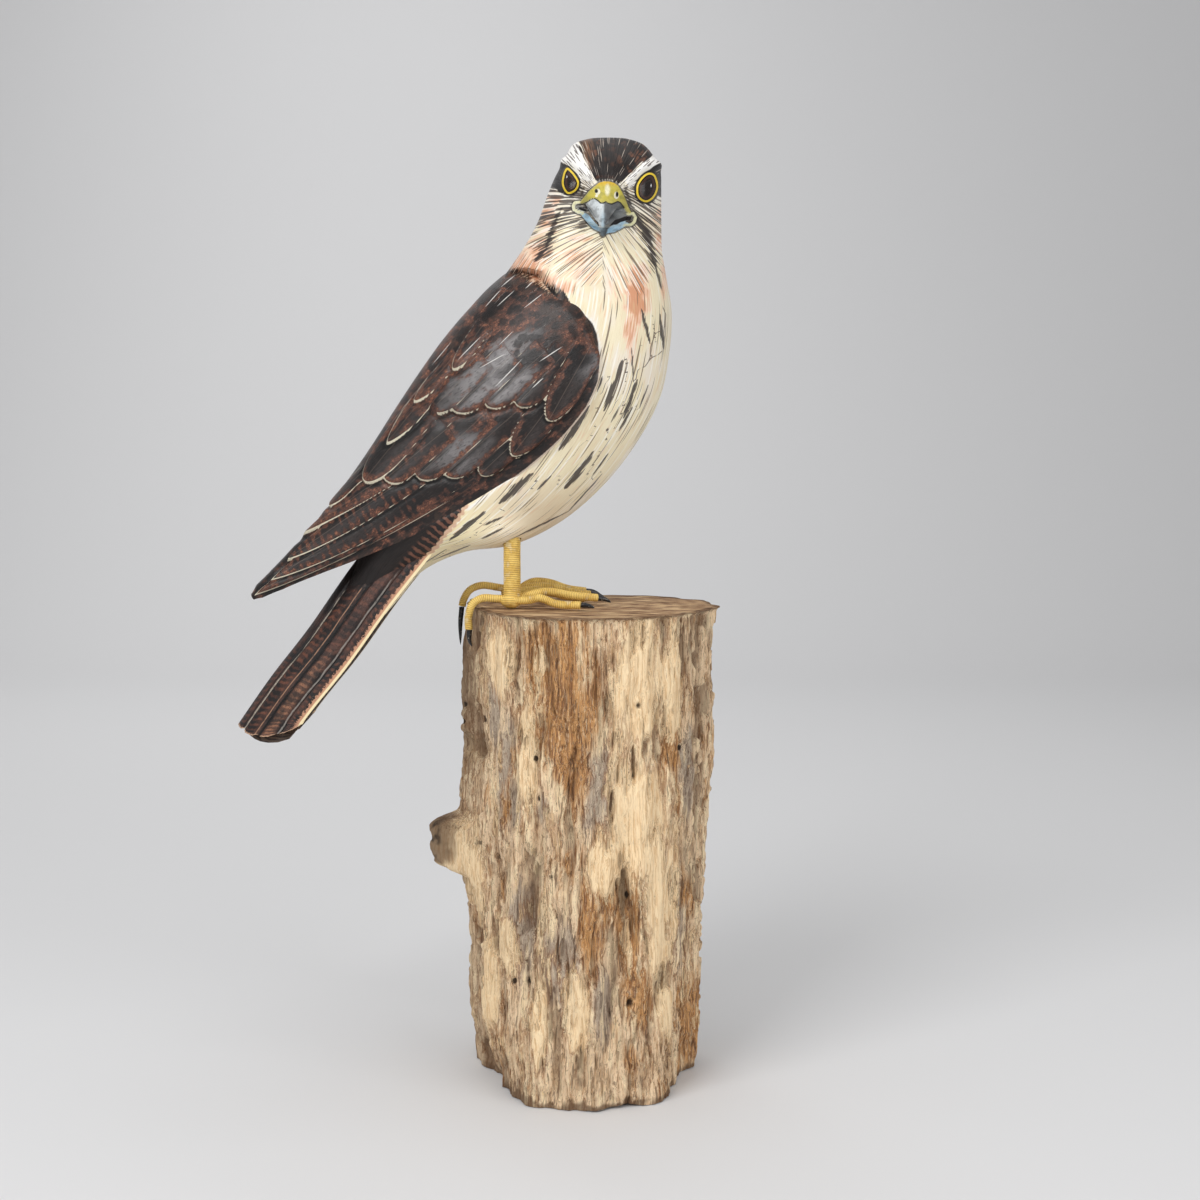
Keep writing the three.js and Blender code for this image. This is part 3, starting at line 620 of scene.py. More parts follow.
def post_finish():
    """Dry weathered wood: tan and cream with rusty, grey and pale places whose edges follow a ragged grain,
    dark fibres and hairline cracks, painted shade where the skin is worn in and in splits, holes, hollows and
    cracks, darker places on the left face, the back, the foot, the top rim and the stub, and the sawn top
    with rings and saw lines."""
    finish = Finish("weathered_wood")
    rusty, grey, pale = finish.stored("zones").parts()
    depth, hole, sawn = finish.stored("shade").parts()
    darker_place, calm, crumbly = finish.stored("darker_places").parts()
    sway = (finish.cells(14, 14, 22).noise(2) - 0.5) * 3.0

    def grain(wide, tall, detail, roughness=0.62, shift=0.0):
        """Upright noise whose lines sway together."""
        place = finish.cells(wide, wide, tall).joined((sway + shift).spread(1.6 / wide))
        return place.noise(detail, roughness)

    patches = grain(3.8, 32, 7, 0.7)
    streaks = grain(1.1, 24, 6, 0.68, 3.0)
    fine = grain(0.42, 9, 4, 0.66, 7.0)
    dots = finish.cells(0.9, 0.9, 1.3).noise(3, 0.7)
    uneven = patches - 0.5
    ragged = uneven * 2.6 + (streaks - 0.5) * 1.1

    def hairline(wide, tall, width, shift):
        """Thin upright line where a slow noise crosses its middle."""
        split = abs(grain(wide, tall, 2, 0.5, shift) - 0.5)
        return split.step(width, 0.4 * width)

    coat = blend((238, 208, 172), (214, 180, 142), patches.step(0.48, 0.6))
    coat = blend(coat, (250, 226, 186), patches.step(0.49, 0.4))
    greyed = (grey + ragged).step(0.0, 0.5)
    coat = blend(coat, (176, 160, 144), greyed * 0.85)
    umber = blend((208, 152, 92), (132, 84, 48), streaks.step(0.44, 0.6))
    coat = blend(coat, umber, (rusty + ragged).step(-0.3, 0.4) * 0.9)
    paleness = pale + ragged
    border = paleness.step(-0.3, -0.02) * paleness.step(0.1, 0.0)
    coat = blend(coat, (150, 98, 54), border * 0.6)
    clean = blend((250, 224, 182), (226, 190, 144), streaks.step(0.44, 0.6))
    coat = blend(coat, clean, paleness.step(0.0, 0.1) * 0.85)
    rough = 1.0 - calm * 0.75
    coat = laid(
        coat,
        ((108, 74, 48), streaks.step(0.43, 0.35) * rough * 0.52),
        ((255, 236, 200), fine.step(0.55, 0.63) * 0.5),
        ((100, 72, 48), fine.step(0.435, 0.365) * rough * 0.6),
    )
    lines = (hairline(2.4, 44, 0.035, 5.0) * streaks.step(0.46, 0.54)).math(
        "MAXIMUM", hairline(1.4, 24, 0.045, 9.0) * patches.step(0.52, 0.58),
    )
    coat = laid(
        coat,
        ((78, 54, 38), lines * rough * 0.62),
        ((78, 56, 40), dots.step(0.4, 0.33) * rough * 0.6),
    )
    # painted shade: darker where the skin is worn in deep and in the long splits
    hollow = (depth + (fine - 0.5) * 0.6).step(0.42, 0.9)
    coat = blend(coat, (92, 64, 44), hollow * 0.66)
    # darker over those places, unevenly
    darkened = darker_place + uneven * (darker_place * 1.6)
    coat = laid(
        coat,
        ((96, 70, 50), darkened.step(0.1, 0.9) * 0.8),
        # painted shade: near black in worm holes, rotten hollows and cracks, and the dark heart of each knot
        ((36, 26, 20), hole.step(0.3, 0.7) * 0.9),
        ((34, 25, 20), crumbly * 0.85),
    )
    middle = finish.coordinates.scaled(1 / (1.3 * MM))
    x, y, _ = middle.parts()
    away = ((x + 6.0) ** 2.0 + (y - 9.0) ** 2.0).math("SQRT")
    rings = (away + finish.cells(18).noise(3) * 9.0).math("SINE")
    sawing = finish.cells(34, 0.7, 34).noise(3, 0.6)
    clouds = finish.cells(16, 7, 16).noise(4, 0.6)
    end = blend((180, 146, 110), (156, 122, 90), rings.step(-0.9, 1.0))
    end = laid(
        end,
        ((222, 190, 148), clouds.step(0.5, 0.62) * 0.85),
        ((104, 74, 50), clouds.step(0.48, 0.36) * 0.85),
        ((92, 64, 42), sawing.step(0.46, 0.36) * 0.7),
        ((84, 58, 40), darker_place.step(0.93, 0.99) * 0.8),
    )
    finish.set("Base Color", blend(coat, end, sawn))
    finish.set("Roughness", 0.8)
    finish.set("Specular IOR Level", 0.22)
    relief = fine * 0.5 + streaks * 1.2 + dots * 0.35
    finish.rough_by(between(relief * rough, sawing, sawn), 0.9, 0.9)
    return finish.material


# The bird's body and head

# Back point and front point in the middle plane (x, z, x, z), half width right and left
BODY_SECTIONS = [
    (-131, 240, -106, 233, 7, 7), (-126, 248, -98, 242, 12, 12), (-120, 259, -86, 255.6, 17, 17),
    (-116, 272, -65, 265, 22.5, 22.5), (-112, 285, -40, 268.9, 29, 29), (-108, 299, -16.5, 280.3, 34, 34),
    (-102, 315, 4.5, 298.2, 38.5, 38.5), (-95, 330, 21.6, 320, 41.5, 41.5), (-86, 346, 33, 342, 43, 43),
    (-76, 361, 37.6, 364, 43, 43), (-65, 376, 38.8, 384, 41, 41), (-54.5, 389.5, 36, 402, 37.5, 38),
    (-44.5, 402.5, 33.8, 415, 34, 35), (-35, 416, 33.4, 427, 31.5, 33), (-28, 428.5, 33.4, 437, 30, 32),
    (-23.5, 440.5, 33.5, 446, 29.5, 31), (-19, 451.5, 33, 454, 27, 30), (-14, 460.5, 29.5, 461, 21.5, 26),
    (-10.5, 466.5, 24.5, 466.5, 15, 19), (-3, 469.4, 17, 469.4, 6, 8),
]
BODY_POWER = 0.92               # below 1 the sections are fuller at their corners than an ellipse
CROWN_TOP = 469.3
BODY_GIRTH = 38                 # mean radius, for lengths counted round the body
HEAD_BASE = (405, 420)          # the carving of the head fades in between these levels
EYE_HEIGHT = 2.0                # of the dome over the rim
EYE_REACH = 4.4                 # from the rim to the dome's top
THIGH_PLACE = (-40, 272)        # x and z of the swelling where a leg enters
THIGH_SWELL = 8
CROWN_RINGS = (0.8, 0.6, 0.4, 0.2)
BODY_ROWS = (110, 100)          # below and above the neck
BODY_COLUMNS = (40, 166)        # on the left side and on the right
NECK = 11.5 / 19

# Outlines painted on the front are measured where they fall on one upright plane before the bird, for
# someone who looks from this place. Bird coordinates.
VIEW_PLACE = (3, -897, 322)
VIEW_PLANE = -24
EYES = [
    [(-12.8, 452.3), (-10.5, 450.5), (-8.5, 448), (-7.2, 445.5), (-7.4, 443), (-9, 440.8), (-11.5, 439.6),
     (-13, 439.8), (-14.5, 441.5), (-15.5, 444.5), (-15.2, 447.5), (-14.3, 450.5)],
    [(27, 449.8), (29.3, 449), (30.6, 446.5), (31.2, 443), (30.2, 439.5), (28.3, 437), (25.5, 435.6),
     (22.8, 436.5), (21, 438.5), (20.5, 441.5), (21, 444.5), (23, 447.5), (25, 449.2)],
]
# Painted highlights on the eyes: x and z of the middle, half width and half height
PAINTED_EYE_HIGHLIGHTS = [(-13.0, 447.8, 0.45, 1.0), (27.7, 443.6, 0.4, 1.2)]
BROWS = [[(-16, 455), (-10.5, 454), (-5, 450), (0, 447)], [(31, 453), (25, 452), (19, 447.5)]]
CHEEKS = [(-14, 428), (24, 424)]
EYE_HOLLOWS = [(-4.5, 443.5), (18, 440.5)]
CERE = [
    (-7.2, 435.2), (-5, 437.8), (-2.5, 440.8), (0, 443), (2.5, 445), (5, 445.7), (7.5, 445.6),
    (10, 444.9),
    (12, 443.4), (13.5, 441), (15, 438), (16.2, 435), (17.2, 432.5), (18.6, 430.3), (16.3, 430.4),
    (15.2, 432.4), (14, 434), (12.8, 435.5), (11.5, 436), (10.2, 435.4), (8.8, 434.8), (7.2, 435.1),
    (5.8, 435.9), (4.6, 435.3), (3.3, 435.3), (2, 436.5), (0.5, 437.4), (-1, 437.2), (-3, 435.9),
    (-5, 434.9),
]
CERE_EDGE = CERE[14:]
HORN = [
    (-4, 434.6), (-2.5, 432.2), (0, 428.6), (1.5, 426), (2.4, 423.5), (2.9, 421), (3.6, 419.6),
    (4.6, 419.1),
    (5.6, 420), (6.3, 421.6), (7.2, 423.6), (8.6, 425.6), (10.5, 427), (12.5, 428), (14.5, 428.8),
    (16, 429.3), (16.5, 430.5), (15.4, 432.4), (12, 437), (5, 437), (1, 438.5), (-3, 437),
]
MANDIBLES = [
    [(-6.8, 430.2), (-4.5, 430.6), (-2.8, 430), (-1, 427.8), (1, 425.6), (2.2, 424.5), (3.4, 422.2),
     (3, 421.4), (-0.5, 423.2), (-2.5, 425.2), (-4.6, 427.8)],
    [(5.8, 420.6), (7, 423), (8.2, 424.2), (9.4, 424.8), (11, 424.9), (12.6, 426.2), (15, 426.6),
     (17, 425.6),
     (15.4, 424.4), (13, 422.9), (10, 421.4), (6.8, 420.9)],
]
MOUTH = [
    [(-8.8, 434.3), (-4.2, 432.6), (-3.2, 431.6), (-4.6, 431.2), (-7.2, 432.3)],
    [(7.6, 424.4), (9, 426), (10.2, 427.3), (12.4, 427.9), (15, 428.9), (18.3, 429), (18.2, 427.2),
     (15.5, 426.9), (13, 426.2), (11, 425), (9.3, 424.9), (8.3, 424.2)],
]
MOUTH_LINE = [(-3.8, 432.2), (-1, 429), (1.5, 426.2), (2.3, 424.6)]
GAPES = [
    [(-7.0, 435.7), (-9.2, 435.4), (-10, 434), (-9.6, 432.2), (-7.6, 430.9), (-5.4, 430.6)],
    [(16.5, 430.2), (19, 430.4), (20.2, 428.6), (19.6, 426.2), (18, 425), (15, 424.8)],
]
NOSTRILS = [(1.2, 441.0, 0.9, 1.1), (11.3, 439.4, 0.75, 1.5)]
NOSTRIL_RIMS = [(1.9, 440.7, 1.4, 1.6), (1.3, 438.7, 0.9, 0.8), (10.9, 439.0, 1.3, 2.0)]
BEAK_RIDGE = [(6.3, 446), (5, 434), (4.8, 419)]
CROWN = [
    (-12, 480), (-8, 466), (-7, 463.5), (-4.7, 456.2), (-2.4, 451.4), (0.6, 446.6), (2.2, 445.4),
    (6.5, 446.4),
    (12, 444.6), (14.4, 445.6), (19, 450), (23.5, 454.3), (28.8, 458), (34, 462), (34, 480),
]
CROWN_BEHIND = [(-20, 480), (-22, 446), (-10, 436), (6, 432), (22, 436), (36, 446), (36, 480)]
WHITE_BROWS = [
    [(-7, 463.5), (-4.7, 456.2), (-2.4, 451.4), (0.8, 446.4), (-0.8, 445.6), (-6.2, 446.4), (-9.2, 450.8),
     (-14.9, 454.5), (-19, 457), (-13, 468)],
    [(28.8, 458), (23.5, 454.3), (19, 450), (14.6, 446), (17.5, 442.3), (20.9, 444.8), (23.5, 448.2),
     (28.4, 451.8), (32, 454.4), (36, 458)],
]
DARK_PATCHES = [
    [(-16, 454.6), (-11.6, 453.4), (-8.6, 450.2), (-13, 449), (-14.4, 444), (-13, 440), (-15.5, 439.4),
     (-19, 442.5), (-26, 447), (-20, 456)],
    [(24.6, 450), (31, 453.8), (36, 454), (36, 440), (31.6, 438.4), (30.4, 443), (28, 448.4)],
]
MANTLE = [
    (-60, 405), (-45, 400.5), (-40, 401.5), (-30, 397.5), (-25, 394), (-15, 391.5), (-9.6, 385.4),
    (-5, 381.9),
    (-1, 378.5), (1.2, 373.6), (2.3, 367.9), (2, 362), (-1, 352), (-12, 340), (-30, 322), (-55, 303),
    (-67.2, 283.4), (-74.3, 274.7), (-77.5, 270), (-84, 263.6),
    (-100, 243), (-140, 205), (-200, 250), (-150, 380), (-60, 425),
]
# Brush strokes: from, to and full width
MOUSTACHES = [
    ((-15, 434), (-21, 422), 2.2), ((-19.5, 425), (-23.6, 412), 2.4), ((-22, 415), (-29, 407.5), 1.8),
    ((-16.6, 441), (-9, 437.4), 1.7), ((-4.4, 444), (-6.4, 437.5), 1.9), ((19.4, 441.6),
    (21.6, 436.4), 1.5),
    ((20.8, 436.2), (27.5, 433.4), 1.5), ((14.6, 444), (18, 434), 2.2), ((-10.6, 433), (-16, 430), 1.5),
    ((19.5, 430), (26, 420.5), 3.2), ((23, 426), (28.6, 414), 3.6), ((27, 417), (30, 404), 2.8),
    ((29.2, 408), (33, 394), 1.7),
]
BELLY_MARKS = [
    ((23, 385.5), (27.6, 367), 1.7), ((32, 383), (34.2, 364), 1.5), ((14.3, 361), (9.5, 345), 2.4),
    ((12, 353), (4.6, 334.5), 3.0), ((21.5, 351), (18, 342), 1.8), ((19.5, 345), (14.4, 332), 2.0),
    ((18.3, 367), (19.3, 350), 0.9), ((19.4, 338), (12, 325), 1.5), ((4.5, 353), (1.4, 344), 1.0),
    ((-1.7, 338.6), (-17.8, 315), 3.4), ((0.6, 316.6), (-7, 306), 2.6), ((-3, 311), (-15, 296.5), 3.0),
    ((-29, 305.6), (-47, 289.6), 3.8), ((-52.4, 287), (-71.6, 271.6), 2.6), ((-20, 304.8),
    (-28.6, 295.8), 1.3),
    ((7.4, 328), (5.8, 324.6), 1.2), ((6.9, 323.4), (5.4, 320.4), 1.0),
    ((8, 316), (-1.4, 302.6), 1.0), ((4.7, 305.4), (-13.6, 285), 0.8), ((-13, 286), (-40.6, 272.6), 0.9),
    ((-43.6, 284), (-54.8, 279.2), 1.2), ((-43.6, 278.4), (-56.4, 272.2), 1.2), ((-9, 331),
    (-14, 323), 0.9),
    ((1, 356), (-1, 349), 0.7), ((14, 340), (8, 329), 0.8), ((27, 349), (22, 336), 0.9),
    ((-70, 264.5), (-90, 253), 0.7), ((-60, 270), (-80, 262), 0.7), ((-72, 268), (-88, 258), 0.6),
]
CRACKS = [
    [(20.4, 350), (20.7, 352), (21.6, 355.8), (24.8, 356.6), (27.4, 360.4), (27.7, 366.7), (29.4, 371.2),
     (29.7, 373), (32.3, 373.9)],
    [(27.7, 361), (31.7, 362.7), (33.2, 364.6)],
    [(34.6, 376), (35, 382), (33.6, 385.5)],
]
EYE_CORNERS = [
    [(-5, 446), (-4, 440), (-9, 437.5), (-15, 437.5)],
    [(15.5, 443), (19, 438), (24, 433.5), (31, 436)],
]
WING_FRONT = [
    (-23, 390), (-14.2, 387.4), (-9.6, 385.2), (-5, 381.7), (-1, 378.3), (1.2, 373.6), (2.4, 367.9),
    (2.2, 362.1),
    (0.2, 354.7), (-3.2, 346.6), (-8.9, 336.9), (-18.3, 324), (-33, 308), (-50, 296), (-62, 287),
]
# Middle, half width and half height of each orange wash, with its strength
WASHES = [
    (-7, 418.6, 7, 1.8, 0.75), (-10, 409.5, 9, 5, 0.6), (-16, 395, 8, 4, 0.85), (-24, 397, 8, 5, 0.9),
    (-35, 404, 11, 8, 1.0), (-27, 412, 7, 9, 0.75), (-22, 428, 5, 8, 0.65), (-19, 437, 4, 4, 0.65),
    (21, 392, 5.6, 15, 1.25), (18, 374, 3.6, 12, 0.8), (31.8, 417, 2.6, 6, 0.85), (32, 428, 3, 7, 0.55),
    (34.5, 400, 2, 12, 0.6), (12, 398, 5, 12, 0.35), (-6, 402, 9, 5, 0.45),
]
# The strokes of a flow fan out from its pole: x and z of the pole, how much they droop with distance, and
# the radius at which lengths across them are counted
FLOWS = {
    "left_flow": (27, 428, 0.005, 35), "right_flow": (-10, 448, 0.006, 35), "top_flow": (5.5, 437, 0, 17),
}
THROAT_MIDDLE = 4.3
FACE_TOP = 442
FAR = -9.0                      # distance outside where an outline isn't repeated


def seen(x, y, z):
    """x and z of the place where the line from the viewing place through a point meets the plane."""
    px, py, pz = VIEW_PLACE
    stretch = (VIEW_PLANE - py) / (y - py)
    return px + (x - px) * stretch, pz + (z - pz) * stretch


def inside_any(x, z, outlines):
    """Signed distance to the outlines, positive inside any of them."""
    return np.max([polygon_field(x, z, outline) for outline in outlines], axis=0)


def eye_field(x, z):
    """Signed distance to the smooth outlines of the two eyes, positive inside."""
    t = np.linspace(0, 1, 48, endpoint=False)
    return inside_any(x, z, [curve_through(outline, t, closed=True) for outline in EYES])


def spots(x, z, ellipses):
    """Distance inside the nearest of several ellipses, in millimetres, positive inside."""
    return np.max([
        (1 - np.hypot((x - ex) / half, (z - ez) / tall)) * min(half, tall)
        for ex, ez, half, tall in ellipses
    ], axis=0)


def lines_field(x, z, lines):
    """Distance to the nearest of several open lines."""
    return np.min([line_field(x, z, line) for line in lines], axis=0)


def side_of_lines(x, z, lines):
    """Distance to the nearest line with the sign of the side that a point lies on."""
    nearest = np.full(np.shape(x), np.inf)
    signed = np.full(np.shape(x), 50.0)
    for line in lines:
        for (ax, az), (bx, bz) in itertools.pairwise(line):
            distance = span_field(x, z, (ax, az), (bx, bz))
            side = np.where((bx - ax) * (z - az) > (bz - az) * (x - ax), 1, -1)
            signed = np.where(distance < nearest, distance * side, signed)
            nearest = np.minimum(nearest, distance)
    return signed, nearest


def stroke_parts(x, z, marks):
    """Tapered strokes from one point to another: how far the nearest one reaches sideways at this place
    along it, less the distance beyond its ends, and the signed sideways distance from its middle line."""
    reach = np.full(np.shape(x), -50.0)
    aside = np.zeros(np.shape(x))
    for (ax, az), (bx, bz), width in marks:
        length = math.hypot(bx - ax, bz - az)
        dx, dz = (bx - ax) / length, (bz - az) / length
        along = (x - ax) * dx + (z - az) * dz
        off = (x - ax) * -dz + (z - az) * dx
        middle = np.clip(1 - (2 * along / length - 1) ** 2, 0, 1)
        beyond = np.maximum(np.maximum(-along, along - length), 0)
        new = width / 2 * middle**0.7 - beyond
        nearer = new - np.abs(off) > reach - np.abs(aside)
        reach = np.where(nearer, new, reach)
        aside = np.where(nearer, off, aside)
    return reach, aside


def brush_marks(x, z, marks):
    """Signed distance, positive inside, to tapered strokes."""
    reach, aside = stroke_parts(x, z, marks)
    return reach - np.abs(aside)


def head_relief(x, y, z):
    """Height of the carving over the plain head: eye domes with a rim in shallow sockets, brows, the
    hollows between eyes and beak, the cheeks and the lips at the corners of the mouth."""
    eye = eye_field(x, z)
    height = EYE_HEIGHT * np.sqrt(1 - (1 - np.clip(eye - 0.2, 0, EYE_REACH) / EYE_REACH) ** 2)
    height += 0.5 * bell(eye - 0.2, 0.55) - 0.8 * bell(eye + 1.9, 1.3)
    outside = smooth(-0.4, -2.2, eye)
    for line in BROWS:
        height += 1.7 * bell(line_field(x, z, line), 2.6) * outside
    for hx, hz in EYE_HOLLOWS:
        height -= 1.2 * bell(np.hypot(x - hx, z - hz), 3.2) * outside
    for hx, hz in CHEEKS:
        height += 0.9 * bell(np.hypot(x - hx, (z - hz) * 0.8), 8)
    height += 0.5 * bell(lines_field(x, z, GAPES), 0.8)
    return height * smooth(2, -8, y)


def body_coat(x, y, z):
    """Paint under the strokes: cream with paler and yellower places, darker beige low on the belly, painted
    shade down the breast's right edge and white beside the wing's front edge, and how strong the orange
    washes are."""
    points = np.stack([x, y, z], axis=-1)
    px, pz = seen(x, y, z)
    coat = painted(
        points, (237, 225, 193),
        ((230, 214, 180), smooth(0.0, 0.8, layered(points / (1, 1, 2.5), 9, 3)) * 0.6),
        ((238, 228, 218), smooth(0.1, 0.8, layered(points / (1, 1, 3), 7, 4)) * 0.6),
        # darker beige towards the bottom of the belly
        ((230, 212, 186), smooth(300, 275, pz + 0.4 * px) * 0.5),
        ((244, 232, 186), smooth(-40, -70, px) * 0.75),
        ((242, 238, 228), smooth(424, 436, pz) * 0.6),
        # painted shade: greyer down the breast's right edge, which turns away
        ((214, 206, 192), smooth(30, 39, px) * 0.35),
    )
    wash = np.zeros(px.shape)
    for ox, oz, half, tall, cover in WASHES:
        reach = np.hypot((px - ox) / half, (pz - oz) / tall) + 0.3 * noise(points, 3, 5)
        wash = np.maximum(wash, smooth(1.5, 0.3, reach) * cover)
    beside = line_field(px, pz, WING_FRONT)
    coat = over(coat, (244, 242, 240), smooth(1.1, 0.5, beside + 0.3 * noise(points, 4, 8)) * 0.8)
    return coat, wash


def dark_coat(x, y, z):
    """Colour of the crown, the mantle and the patches beside the eyes: near black with rust mottling."""
    points = np.stack([x, y, z], axis=-1)
    px, pz = seen(x, y, z)
    rust = smooth(0.1, 0.6, layered(points, 3.0, 12)) * mix(0.3, 1, smooth(-2, 4, np.abs(px - 8) - 4))
    coat = painted(
        points, (35, 28, 26),
        ((124, 78, 54), rust * 0.6 * smooth(285, 320, pz)),
        ((150, 108, 78), bell(px + 3, 2.6) * smooth(447, 456, pz) * 0.55),
        ((28, 24, 24), smooth(0.1, 0.6, layered(points, 5, 14)) * 0.5),
    )
    return over(coat, (46, 44, 44), inside_any(px, pz, DARK_PATCHES) > -1.5)


def beak_coat(x, z):
    """Colours of the beak: grey horn whose left facet is painted light as its lit side, the waxy yellow cere
    with a painted highlight, the blue lower half, and the cream lips at the corners."""
    points = np.stack([x, z, 0 * x], axis=-1)
    ridge = np.interp(-z, [-pz for _, pz in BEAK_RIDGE], [px for px, _ in BEAK_RIDGE])
    tint = layered(points, 2.2, 103)
    horn = painted(
        points, (104, 107, 108),
        # painted light: the left facet of the horn lighter, as on its lit side
        ((206, 212, 214), smooth(0.5, -0.7, x - ridge)),
        ((164, 168, 170), spots(x, z, [(12.5, 430.6, 4.5, 2.6)]) / 2),
        ((168, 196, 210), bell(x - ridge + 0.6, 1.0) * smooth(434, 426, z) * 0.7),
        ((74, 74, 76), smooth(0.05, 0.7, tint) * 0.45),
        ((48, 46, 46), smooth(424, 420, z) * 0.8),
    )
    waxy = painted(
        points, (196, 182, 78),
        ((150, 146, 72), smooth(-0.1, 0.6, tint) * 0.6),
        ((222, 178, 20), smooth(442.6, 445.2, z) * 0.9),
        ((206, 198, 118), smooth(438, 434, z) * 0.5),
        # painted highlight: a pale streak down the middle of the cere
        ((236, 230, 196), spots(x, z, [(6.6, 441.6, 1.6, 3.4)]) * 1.2),
    )
    blue = painted(
        points, (158, 194, 216),
        ((200, 218, 226), smooth(-0.2, 0.5, tint) * 0.6),
        ((116, 126, 132), smooth(0.2, 0.8, layered(points, 1.6, 105)) * 0.6),
    )
    cere = polygon_field(x, z, CERE)
    lower = smooth(-0.35, -0.1, inside_any(x, z, MANDIBLES)) * (polygon_field(x, z, HORN) < 0.1)
    lips = smooth(0.9, 0.6, lines_field(x, z, GAPES))
    return laid(
        horn,
        (waxy, smooth(-0.1, 0.1, cere)),
        (blue, lower * (cere < 0)),
        ((226, 222, 178), lips * (cere < 0.3)),
    )


def stroke_share(x, y, z):
    """How thick the strokes lie: the long ones of throat and breast, and the short ones of the face."""
    px, pz = seen(x, y, z)
    rough = noise(np.stack([x, y, z], axis=-1), 7, 15)
    long = 0.125 + 0.055 * smooth(395, 415, pz) + 0.02 * rough
    long *= mix(1, 0.62, smooth(335, 290, pz))
    below = smooth(418, 426, pz)
    left = smooth(2, -6, px) * smooth(452, 444, pz)
    right = smooth(10, 17, px) * smooth(452, 444, pz)
    short = 0.37 * below * np.maximum(left, right) + 0.12 * smooth(444, 452, pz)
    short = np.maximum.reduce([
        short,
        0.42 * smooth(-4.0, 0.5, brush_marks(px, pz, MOUSTACHES)),
        0.4 * smooth(6, 2, lines_field(px, pz, EYE_CORNERS)),
        0.26 * smooth(8, 0, px + 24) * smooth(398, 410, pz),
    ])
    return long, np.clip(short + 0.05 * rough, 0, 0.5)


def paint_fields(mesh, x, y, z, body_across, body_along):
    """Stores what the painter's outlines give at each vertex: signed distances and the directions of
    the brush. Across a stroke of a flow, the angle at its pole changes, measured to a point lifted by the
    bend times the square of the sideways distance."""
    px, pz = seen(x, y, z)
    facing = smooth(10, 2, y + 4 * noise(np.stack([x, y, z], axis=-1), 5, 31))
    crown = mix(polygon_field(x, z, CROWN_BEHIND), polygon_field(px, pz, CROWN), facing)
    dark = np.maximum(crown, mix(FAR, inside_any(px, pz, DARK_PATCHES), facing))
    mantle = polygon_field(px, pz, MANTLE)
    strokes, aside = stroke_parts(px, pz, BELLY_MARKS)
    smudge = mix(FAR, brush_marks(px, pz, MOUSTACHES), smooth(7, 1, y))
    white = mix(FAR, inside_any(px, pz, WHITE_BROWS), facing)
    crack, near_crack = side_of_lines(px, pz, CRACKS)
    eye = mix(-20.0, eye_field(px, pz), smooth(-1, -4, y))
    front = smooth(-8, -12, y)
    mouth = inside_any(px, pz, MOUTH)
    whole = np.maximum.reduce([
        inside_any(px, pz, [CERE, HORN, *MANDIBLES]), mouth, 0.75 - lines_field(px, pz, GAPES),
    ])
    mouth = np.maximum(mouth, 0.35 - line_field(px, pz, MOUTH_LINE))
    under = 0.34 - line_field(px, pz, CERE_EDGE) - 1.5 * (px > 15.2)
    long, short = stroke_share(x, y, z)
    from_face = np.hypot(px - 4, (pz - 436) * mix(1, 0.9, smooth(4, 12, px)))
    from_face = from_face + 3 * noise(np.stack([px, pz, 0 * px], axis=-1), 6, 25)
    near_face = smooth(46, 36, from_face) * smooth(10, -6, y)
    flows = {}
    for name, (fx, fz, bend, reach) in FLOWS.items():
        u = px - fx
        w = pz - fz + bend * u * u
        angle = np.arctan2(w, np.abs(u)) if bend else np.arctan2(w, u)
        flows[name] = (angle * reach, np.hypot(u, w))
    for name, values in (
        ("marks", (dark, strokes, white)),
        ("smudges", (smudge, mantle, eye)),
        # the third field places the painted highlights on the eyes
        ("cracks", (crack, near_crack, spots(px, pz, PAINTED_EYE_HIGHLIGHTS))),
        ("beak", (mix(FAR, whole, front), mouth, under)),
        ("nostrils", (spots(px, pz, NOSTRILS), spots(px, pz, NOSTRIL_RIMS), near_face)),
        ("left_flow", (*flows["left_flow"], px)),
        ("right_flow", (*flows["right_flow"], pz)),
        ("top_flow", (*flows["top_flow"], short)),
        ("body_flow", (body_across, body_along, long)),
    ):
        add_vectors(mesh, name, *values)
    add_colours(mesh, "coat", *body_coat(x, y, z))
    add_colours(mesh, "dark_coat", dark_coat(x, y, z), aside)
    add_colours(mesh, "horn_coat", beak_coat(px, pz))


def under_wing(x, y, z):
    """Half width that the body may have under a wing: a little less than the wing's own bow there."""
    ox, oz = WING_ORIGIN
    start, end = WING_REACH[0], WING_REACH[1] - 0.5
    s = -(x - ox) * math.cos(WING_PITCH) - (z - oz) * math.sin(WING_PITCH)
    q = -(x - ox) * math.sin(WING_PITCH) + (z - oz) * math.cos(WING_PITCH)
    top, low, bulge, _ = np.moveaxis(at_place(WING_ROWS, np.clip(s, start, end)), -1, 0)
    share = np.clip((top - q) / (top - low), 0, 1)
    turn = np.arccos(1 - share * (1 - math.cos(WING_TURN)))
    limit = np.maximum(-2.0 + np.sin(turn) * bulge, 0.8)
    inset = np.minimum.reduce([q - low, top - q - 1.5, s - 1, end - s])
    return np.where(inset > 0, mix(np.maximum(np.abs(y), limit), limit, smooth(0, 3.5, inset)), 99)


